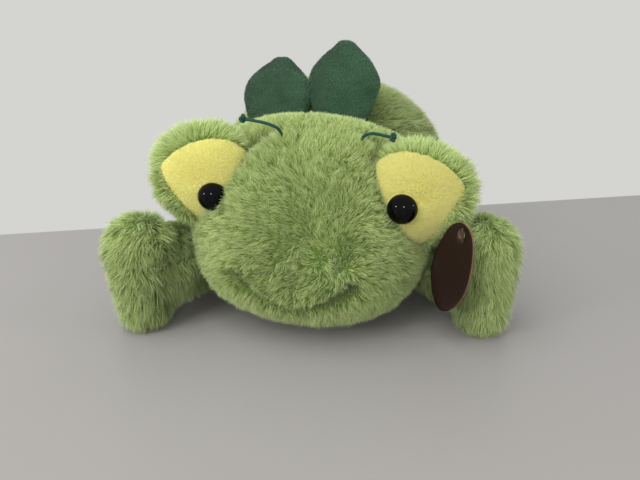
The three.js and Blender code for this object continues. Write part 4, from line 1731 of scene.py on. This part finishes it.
@dataclass
class Arm:
    """A bent arm in one sleeve of shaggy fur over the upper arm and the forearm."""

    side: Side
    inset: float = 0.8 * MM
    density: float = 3.2e6
    length: float = 7.5 * MM
    width: float = 0.23 * MM
    voxel: float = 2.2 * MM
    rounds: int = 14
    bend_reach: float = 20 * MM
    cover: float = 3 * MM
    sole: float = -0.9
    sole_share: float = 0.45
    # Painted shade on the inner side of the bend, and painted light on top.
    inner_reach: float = 30 * MM
    inner_dark: float = 0.6
    top_light: tuple[float, float] = (0.2, 0.4)
    top_from: float = 0.2
    forwards: float = 1.05
    forwards_loss: float = 0.6
    hang: float = 1.05
    flare: float = 0.38

    def build(self, toy: Toy, wardrobe: Wardrobe, others: Sequence[Hull]) -> None:
        """Make the arm's sleeve and fur.

        Args:
            toy: The frame.
            wardrobe: The materials.
            others: Forms that hide the arm's fur.
        """
        word = self.side.word
        upper, lower = f"{word}_upper_arm", f"{word}_forearm"
        hulls = [toy.hull(upper), toy.hull(lower)]
        shoulder, _ = toy.joint(f"{word}_shoulder_swing")
        elbow, _ = toy.joint(f"{word}_elbow_swing")
        low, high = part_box(lower)
        paw = np.array([(low.x + high.x) / 2, (low.y + high.y) / 2, 0.0])
        skin = Skin(self.voxel, self.rounds, self.inset).over(f"{word}_arm_skin", hulls, wardrobe.backing)
        start = elbow + unit(shoulder - elbow) * self.bend_reach
        end = elbow + unit(paw - elbow) * self.bend_reach

        def comb(points: np.ndarray, normals: np.ndarray) -> np.ndarray:
            """Along the arm from the shoulder over the elbow to the paw, flared at the paw."""
            along = end - start
            share = np.clip(((points - start) @ along) / float(along @ along), 0, 1)[:, None]
            away = points - elbow
            away[:, 2] = 0
            hang = np.array([0.0, 0.0, -self.hang])
            flare = unit(away) * self.flare * np.clip(2 * share - 1, 0, 1)
            forwards = unit(elbow - shoulder) * (self.forwards - self.forwards_loss * share)
            return forwards + hang + flare

        def trim(points: np.ndarray, normals: np.ndarray) -> np.ndarray:
            """None inside the body or the head, shorter under the paw."""
            share = np.ones(len(points))
            for other in others:
                share[other.depth(points) > self.cover] = 0
            share[normals[:, 2] < self.sole] *= self.sole_share
            return share

        def shade(points: np.ndarray, normals: np.ndarray) -> np.ndarray:
            """Painted shade on the inner side of the bend, painted light on top."""
            inner = bell(np.linalg.norm(points - (elbow + paw) / 2, axis=1), self.inner_reach)
            hidden = np.clip(-normals[:, 0] * self.side.value, 0, 1) * np.clip(1 - 2 * normals[:, 2], 0, 1)
            every, upper = self.top_light
            light = every * normals[:, 2] + upper * np.clip(normals[:, 2] - self.top_from, 0, 1)
            return light - self.inner_dark * inner * hidden

        pile = Pile(f"{word}_arm_pile", wardrobe.fur, self.density, self.length, self.width,
                    lean=0.46, sag=0.14, lock=2.2 * MM, seed=91 + self.side.value)
        pieces = pile.grow(skin, comb, trim, shade)
        for piece in [skin, *pieces]:
            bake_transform(piece)
            LOG.info("%s: %d faces", piece.name, len(piece.data.polygons))
        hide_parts(upper, f"{upper}_stuffing", lower, f"{lower}_stuffing")


# Wings


@dataclass
class Wing:
    """A leaf of short-pile cloth, sewn from two panels, turned and stuffed."""

    side: Side
    # Painted light: how much lighter the whole nap is painted, as one wing catches more light than the other.
    tone: float
    stations: tuple[tuple[float, float], ...] = (
        (-9.0, 14.0), (0.0, 17.8), (8.0, 20.8), (15.0, 22.4), (20.0, 22.6), (26.0, 21.2),
        (32.0, 18.0), (37.0, 14.0), (41.0, 9.6), (44.0, 5.2), (45.0, 2.4),
    )
    rows: int = 44
    columns: int = 28
    easing: int = 10
    ease: float = 1.05
    thickness: float = 16.5 * MM
    sim_scale: float = 10.0
    pressure: float = 6.0
    frames: int = 22
    outline_steps: int = 90
    panel_gap: float = 2.5 * MM
    gap_span: tuple[float, float] = (0.12, 0.94)
    narrowest: float = 0.5 * MM
    dimples: tuple[tuple[float, float], ...] = ((0.0, 26.0), (-7.0, 10.0), (10.0, 14.0))
    dimple_depth: float = 2.6 * MM
    dimple_reach: float = 1.7 * MM
    fold_depth: float = 0.4 * MM
    fold_cell: float = 3.2 * MM
    fold_stretch: Place = (1.0, 0.4, 0.35)
    crumple_depth: float = 1.5 * MM
    crumple_cell: float = 10 * MM
    crumple_stretch: Place = (1.0, 0.4, 0.8)
    brush: Place = (0.8, 0.0, -0.4)
    # The streaks and clouds below are painted shade that stands for the wing's folds and crumples.
    streak_stretch: Place = (0.3, 1.0, 1.2)
    streak_cell: float = 3 * MM
    streak_tone: float = 0.45
    cloud_cell: float = 9 * MM
    cloud_tone: float = 0.9
    nap: float = 0.85 * MM
    nap_width: float = 0.2 * MM
    nap_density: float = 6e6
    nap_room: float = 1.5 * MM

    def build(self, toy: Toy, wardrobe: Wardrobe, others: Sequence[Hull],
              stuffed: Optional[np.ndarray] = None) -> np.ndarray:
        """Make the wing's cloth and its nap.

        Args:
            toy: The frame.
            wardrobe: The materials.
            others: Forms that hide the wing's root.
            stuffed: Corners of a wing that is already stuffed, cut to the same size.

        Returns:
            Corners of the stuffed wing.
        """
        word = self.side.word
        hinge, _ = toy.joint(f"{word}_wing_flap")
        corners = toy.points(f"{word}_wing")
        tip = corners[np.linalg.norm(corners - hinge, axis=1).argmax()]
        up = tip - hinge
        up[0] = 0
        up = unit(up)
        back = np.cross(up, [1.0, 0.0, 0.0])
        leaf, faces = self._leaf()
        cloth = object_of(f"{word}_wing_cloth", leaf, faces, wardrobe.wing)
        if stuffed is None:
            stuffed = self._stuffed(cloth, leaf)
        leaf = self._shaped(stuffed, leaf, faces)
        leaf = leaf + self._dimple_moves(leaf)
        basis = np.stack([np.array([1.0, 0.0, 0.0]), back, up], axis=0)
        move_corners(cloth, hinge + leaf @ basis)
        finer = cloth.modifiers.new("finer", "SUBSURF")
        finer.levels = 1
        finer.render_levels = 1
        settle(cloth)
        declare(cloth, f"{word}_wing", "wing_cloth", f"{word}_wing", f"{word}_wing_stuffing")

        def comb(points: np.ndarray, normals: np.ndarray) -> np.ndarray:
            """Across the wing and a little down."""
            return np.tile(self.brush, (len(points), 1))

        def trim(points: np.ndarray, normals: np.ndarray) -> np.ndarray:
            """None inside the body or the head, or close to them."""
            share = np.ones(len(points))
            for other in others:
                share[other.depth(points) > -self.nap_room] = 0
            return share

        def shade(points: np.ndarray, normals: np.ndarray) -> np.ndarray:
            """Streaks and patches of painted shade that stand for the wing's folds and crumples, over the
            wing's painted light level.
            """
            stretched = points * np.array(self.streak_stretch)
            streaks = lattice_noise(stretched, self.streak_cell, 7 + self.side.value)
            clouds = lattice_noise(points, self.cloud_cell, 17 + self.side.value)
            return self.tone + self.streak_tone * streaks + self.cloud_tone * clouds

        nap = Pile(f"{word}_wing_nap", wardrobe.wing_nap, self.nap_density, self.nap, self.nap_width,
                   lean=0.55, lock=1.2 * MM, gather=0.35, wander=0.14, swirl=0.5, seed=111 + self.side.value)
        for piece in nap.grow(cloth, comb, trim, shade):
            declare(piece, f"{word}_wing", "wing_cloth")
        return stuffed

    def _shaped(self, leaf: np.ndarray, flat: np.ndarray, faces: np.ndarray) -> np.ndarray:
        """Ease the stuffed wing's puckers and bring it back to its cut size, row by row.

        Args:
            leaf: The stuffed wing's corners.
            flat: The corners of its panels as they were cut.
            faces: Its quads.

        Returns:
            The eased corners.
        """
        pairs = np.vstack([faces[:, [0, 1]], faces[:, [1, 2]], faces[:, [2, 3]], faces[:, [3, 0]]])
        counts = np.bincount(pairs[:, 0], minlength=len(leaf)) + np.bincount(pairs[:, 1], minlength=len(leaf))
        for _ in range(self.easing):
            total = np.zeros_like(leaf)
            np.add.at(total, pairs[:, 0], leaf[pairs[:, 1]])
            np.add.at(total, pairs[:, 1], leaf[pairs[:, 0]])
            leaf = 0.5 * leaf + 0.5 * total / counts[:, None]
        low, high = leaf.min(axis=0), leaf.max(axis=0)
        heights, halves = self._outline()
        eased = leaf.copy()
        eased[:, 1] = leaf[:, 1] * self.thickness / (high[1] - low[1])
        eased[:, 2] = heights[0] + (leaf[:, 2] - low[2]) * (heights[-1] - heights[0]) / (high[2] - low[2])
        levels, row = np.unique(np.round(flat[:, 2] / MM, 4), return_inverse=True)
        level = np.bincount(row, eased[:, 2]) / np.bincount(row)
        wanted = np.interp(level, heights, halves)
        for side in Side:
            half = eased[:, 0] * side.value > 0
            reach = np.zeros(len(levels))
            np.maximum.at(reach, row[half], np.abs(eased[half, 0]))
            eased[half, 0] *= (wanted / np.maximum(reach, self.narrowest))[row[half]]
        return eased

    def _outline(self) -> tuple[np.ndarray, np.ndarray]:
        """Heights along the wing and its half widths there, on a smooth curve."""
        curve = smooth_path([(height, half, 0.0) for height, half in self.stations], self.outline_steps) * MM
        return curve[:, 0], curve[:, 1]

    def _leaf(self) -> tuple[np.ndarray, np.ndarray]:
        """Two flat panels sewn together at their edge, a little apart in the middle.

        Returns:
            Corners in the wing's own frame, and quads.
        """
        heights, halves = self._outline()
        halves = halves * self.ease
        spread = np.sin(np.linspace(0, 1, self.rows) * math.pi / 2)
        levels = heights[0] + (heights[-1] - heights[0]) * (0.5 * spread + 0.5 * np.linspace(0, 1, self.rows))
        width = np.interp(levels, heights, halves)
        across = np.sin(np.linspace(-1, 1, self.columns) * math.pi / 2)
        inner = (1 - across**2)[None, :] * np.sin(np.linspace(*self.gap_span, self.rows) * math.pi)[:, None]
        panels = []
        for facing in (-1, 1):
            panel = np.empty((self.rows, self.columns, 3))
            panel[:, :, 0] = width[:, None] * across[None, :]
            panel[:, :, 1] = facing * self.panel_gap * inner
            panel[:, :, 2] = levels[:, None]
            panels.append(panel)
        grid = np.arange(self.rows * self.columns).reshape(self.rows, self.columns)
        rear = grid + grid.size
        edge = np.zeros_like(grid, bool)
        edge[:, [0, -1]] = True
        edge[[0, -1], :] = True
        rear = np.where(edge, grid, rear)
        quads = []
        for sheet, turned in ((grid, False), (rear, True)):
            cells = np.stack([sheet[:-1, :-1], sheet[:-1, 1:], sheet[1:, 1:], sheet[1:, :-1]], axis=2)
            cells = cells.reshape(-1, 4)
            quads.append(cells[:, ::-1] if turned else cells)
        corners = np.vstack([panel.reshape(-1, 3) for panel in panels])
        faces = np.vstack(quads)
        used, numbers = np.unique(faces, return_inverse=True)
        return corners[used], numbers.reshape(faces.shape)

    def _stuffed(self, cloth: bpy.types.Object, flat: np.ndarray) -> np.ndarray:
        """Args:
            cloth: The sewn panels.
            flat: Their corners.

        Returns:
            The stuffed wing's corners.
        """
        move_corners(cloth, flat * self.sim_scale)
        cloth.data.polygons.foreach_set("use_smooth", np.ones(len(cloth.data.polygons), bool))
        sim = cloth.modifiers.new("stuffing", "CLOTH")
        settings = sim.settings
        settings.quality = 8
        settings.mass = 0.3
        settings.tension_stiffness = 40
        settings.compression_stiffness = 30
        settings.shear_stiffness = 8
        settings.bending_stiffness = 0.8
        settings.use_pressure = True
        settings.uniform_pressure_force = self.pressure
        settings.effector_weights.gravity = 0
        sim.collision_settings.use_collision = False
        sim.point_cache.frame_start = 1
        sim.point_cache.frame_end = self.frames
        scene = bpy.context.scene
        for number in range(1, self.frames + 1):
            scene.frame_set(number)
        settle(cloth)
        scene.frame_set(1)
        swollen = corner_points(cloth) / self.sim_scale
        deep = np.ptp(swollen[:, 1])
        swollen[:, 1] *= min(1.0, self.thickness / deep)
        LOG.info("%s: stuffed to %.1f mm", cloth.name, deep / MM)
        return swollen

    def _dimple_moves(self, leaf: np.ndarray) -> np.ndarray:
        """Small needle dimples in the front, and soft wrinkles and crumples all over."""
        moves = np.zeros_like(leaf)
        front = leaf[:, 1] < 0
        for x, z in self.dimples:
            gap = np.hypot(leaf[:, 0] - x * MM * self.side.value, leaf[:, 2] - z * MM)
            moves[:, 1] += front * bell(gap, self.dimple_reach) * self.dimple_depth
        folds = lattice_noise(leaf * np.array(self.fold_stretch), self.fold_cell, 5 + self.side.value)
        stretched = leaf * np.array(self.crumple_stretch)
        crumples = lattice_noise(stretched, self.crumple_cell, 15 + self.side.value)
        moves[:, 1] += folds * self.fold_depth + crumples * self.crumple_depth
        return moves


# Hang tag


@dataclass
class Tag:
    """A bare oval card on a nylon pin, a little bowed."""

    width: float = 27 * MM
    length: float = 49 * MM
    hole: float = 5 * MM
    hole_inset: float = 5.5 * MM
    thickness: float = 0.9 * MM
    bow: float = 2.2 * MM
    bow_wave: float = 0.35
    bow_twist: float = 0.6
    bow_arch: float = 0.5
    rings: int = 14
    sides: int = 72

    def build(self, toy: Toy, wardrobe: Wardrobe) -> None:
        """Make the card and give the pin its plastic."""
        place, normal = toy.joint("tag_swing")
        upright = place - toy.points("hang_tag").mean(axis=0)
        up = unit(upright - normal * float(upright @ normal))
        across = np.cross(up, normal)
        turn = np.linspace(0, 2 * math.pi, self.sides, endpoint=False)
        middle = self.hole_inset - self.length / 2
        outer = np.stack([np.cos(turn) * self.width / 2, middle + np.sin(turn) * self.length / 2], axis=1)
        inner = np.stack([np.cos(turn), np.sin(turn)], axis=1) * self.hole / 2
        spread = np.linspace(0, 1, self.rings)[:, None, None]
        flat = (inner[None] * (1 - spread) + outer[None] * spread).reshape(-1, 2)
        down = (self.hole_inset - flat[:, 1]) / self.length
        sideways = flat[:, 0] / (self.width / 2)
        wave = np.sin(down * 2 * math.pi) * self.bow_wave * sideways
        lift = self.bow * (wave + down**2 * sideways * self.bow_twist)
        lift = lift - self.bow * self.bow_arch * (1 - sideways**2) * np.sin(down * math.pi)
        sheet = place + flat[:, :1] * across + flat[:, 1:] * up
        front = sheet + normal * (lift + self.thickness / 2)[:, None]
        back = sheet + normal * (lift - self.thickness / 2)[:, None]
        ring, side = np.arange(self.rings - 1)[:, None] * self.sides, np.arange(self.sides)[None, :]
        following = (side + 1) % self.sides
        outwards = ring + self.sides
        cells = np.stack([ring + side, outwards + side, outwards + following, ring + following], axis=2)
        cells = cells.reshape(-1, 4)
        shift = len(front)
        last = (self.rings - 1) * self.sides
        side, following = side.ravel(), following.ravel()
        rim = np.stack([last + side, last + side + shift, last + following + shift, last + following], axis=1)
        bore = np.stack([side, following, following + shift, side + shift], axis=1)
        faces = np.vstack([cells, cells[:, ::-1] + shift, rim, bore])
        card = object_of("tag_card", np.vstack([front, back]), faces, wardrobe.card)
        card.data.materials.append(wardrobe.card_edge)
        slots = np.zeros(len(faces), np.int32)
        slots[2 * len(cells):] = 1
        card.data.polygons.foreach_set("material_index", slots)
        smooth = np.ones(len(faces), bool)
        smooth[2 * len(cells):] = False
        card.data.polygons.foreach_set("use_smooth", smooth)
        declare(card, "tag", "tag_card", "hang_tag")
        toy.dress("tag_pin", wardrobe.pin)


def main() -> None:
    """Build the looks around the frame, piece by piece."""
    logging.basicConfig(level=logging.INFO, format="%(message)s")
    toy = Toy(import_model())
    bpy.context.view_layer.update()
    wardrobe = Wardrobe.made()
    Studio().build(wardrobe)
    head = Head()
    head.measure(toy)
    antennae = (
        Antenna(Side.LEFT, ((23, -18, 34), (24.5, -22, 44), (26.5, -25, 50), (30, -26.5, 52.4),
                            (34.5, -27.5, 52.6), (39, -28, 52))),
        Antenna(Side.RIGHT, ((-15, -20, 36), (-15.5, -24, 45), (-17.5, -27, 50.6), (-22, -28, 52.8),
                             (-28, -27.5, 53.8), (-34.5, -26, 54.2))),
    )
    cords = [antenna.build(toy, wardrobe, head) for antenna in antennae]
    lobes = [toy.hull(f"{side.word}_eye_lobe", f"{side.word}_eye_patch") for side in Side]
    wings = [form for side in Side for form in toy.swept(f"{side.word}_wing", f"{side.word}_wing_flap")]
    trunk = Trunk(hull=toy.hull("body_cover"))
    stuffed = None
    # The toy's left wing is painted lighter than its right one, for the light that falls on it.
    for wing in (Wing(Side.LEFT, 0.3), Wing(Side.RIGHT, 0.1)):
        stuffed = wing.build(toy, wardrobe, [trunk.hull, head.hull], stuffed)
    head.build(toy, wardrobe, lobes, trunk.hull, cords)
    # The toy's left patch nap gets painted shade, as that patch lies in shade.
    for lobe in (EyeLobe(Side.LEFT, (0.85, -0.52), 13 * MM, -1.0),
                 EyeLobe(Side.RIGHT, (-0.83, -0.56), 12 * MM, 0.0)):
        lobe.build(toy, wardrobe, head)
    trunk.build(toy, wardrobe, head.hull, wings)
    for side in Side:
        Arm(side).build(toy, wardrobe, [trunk.hull, head.hull])
    Tag().build(toy, wardrobe)


if __name__ == "__main__":
    main()
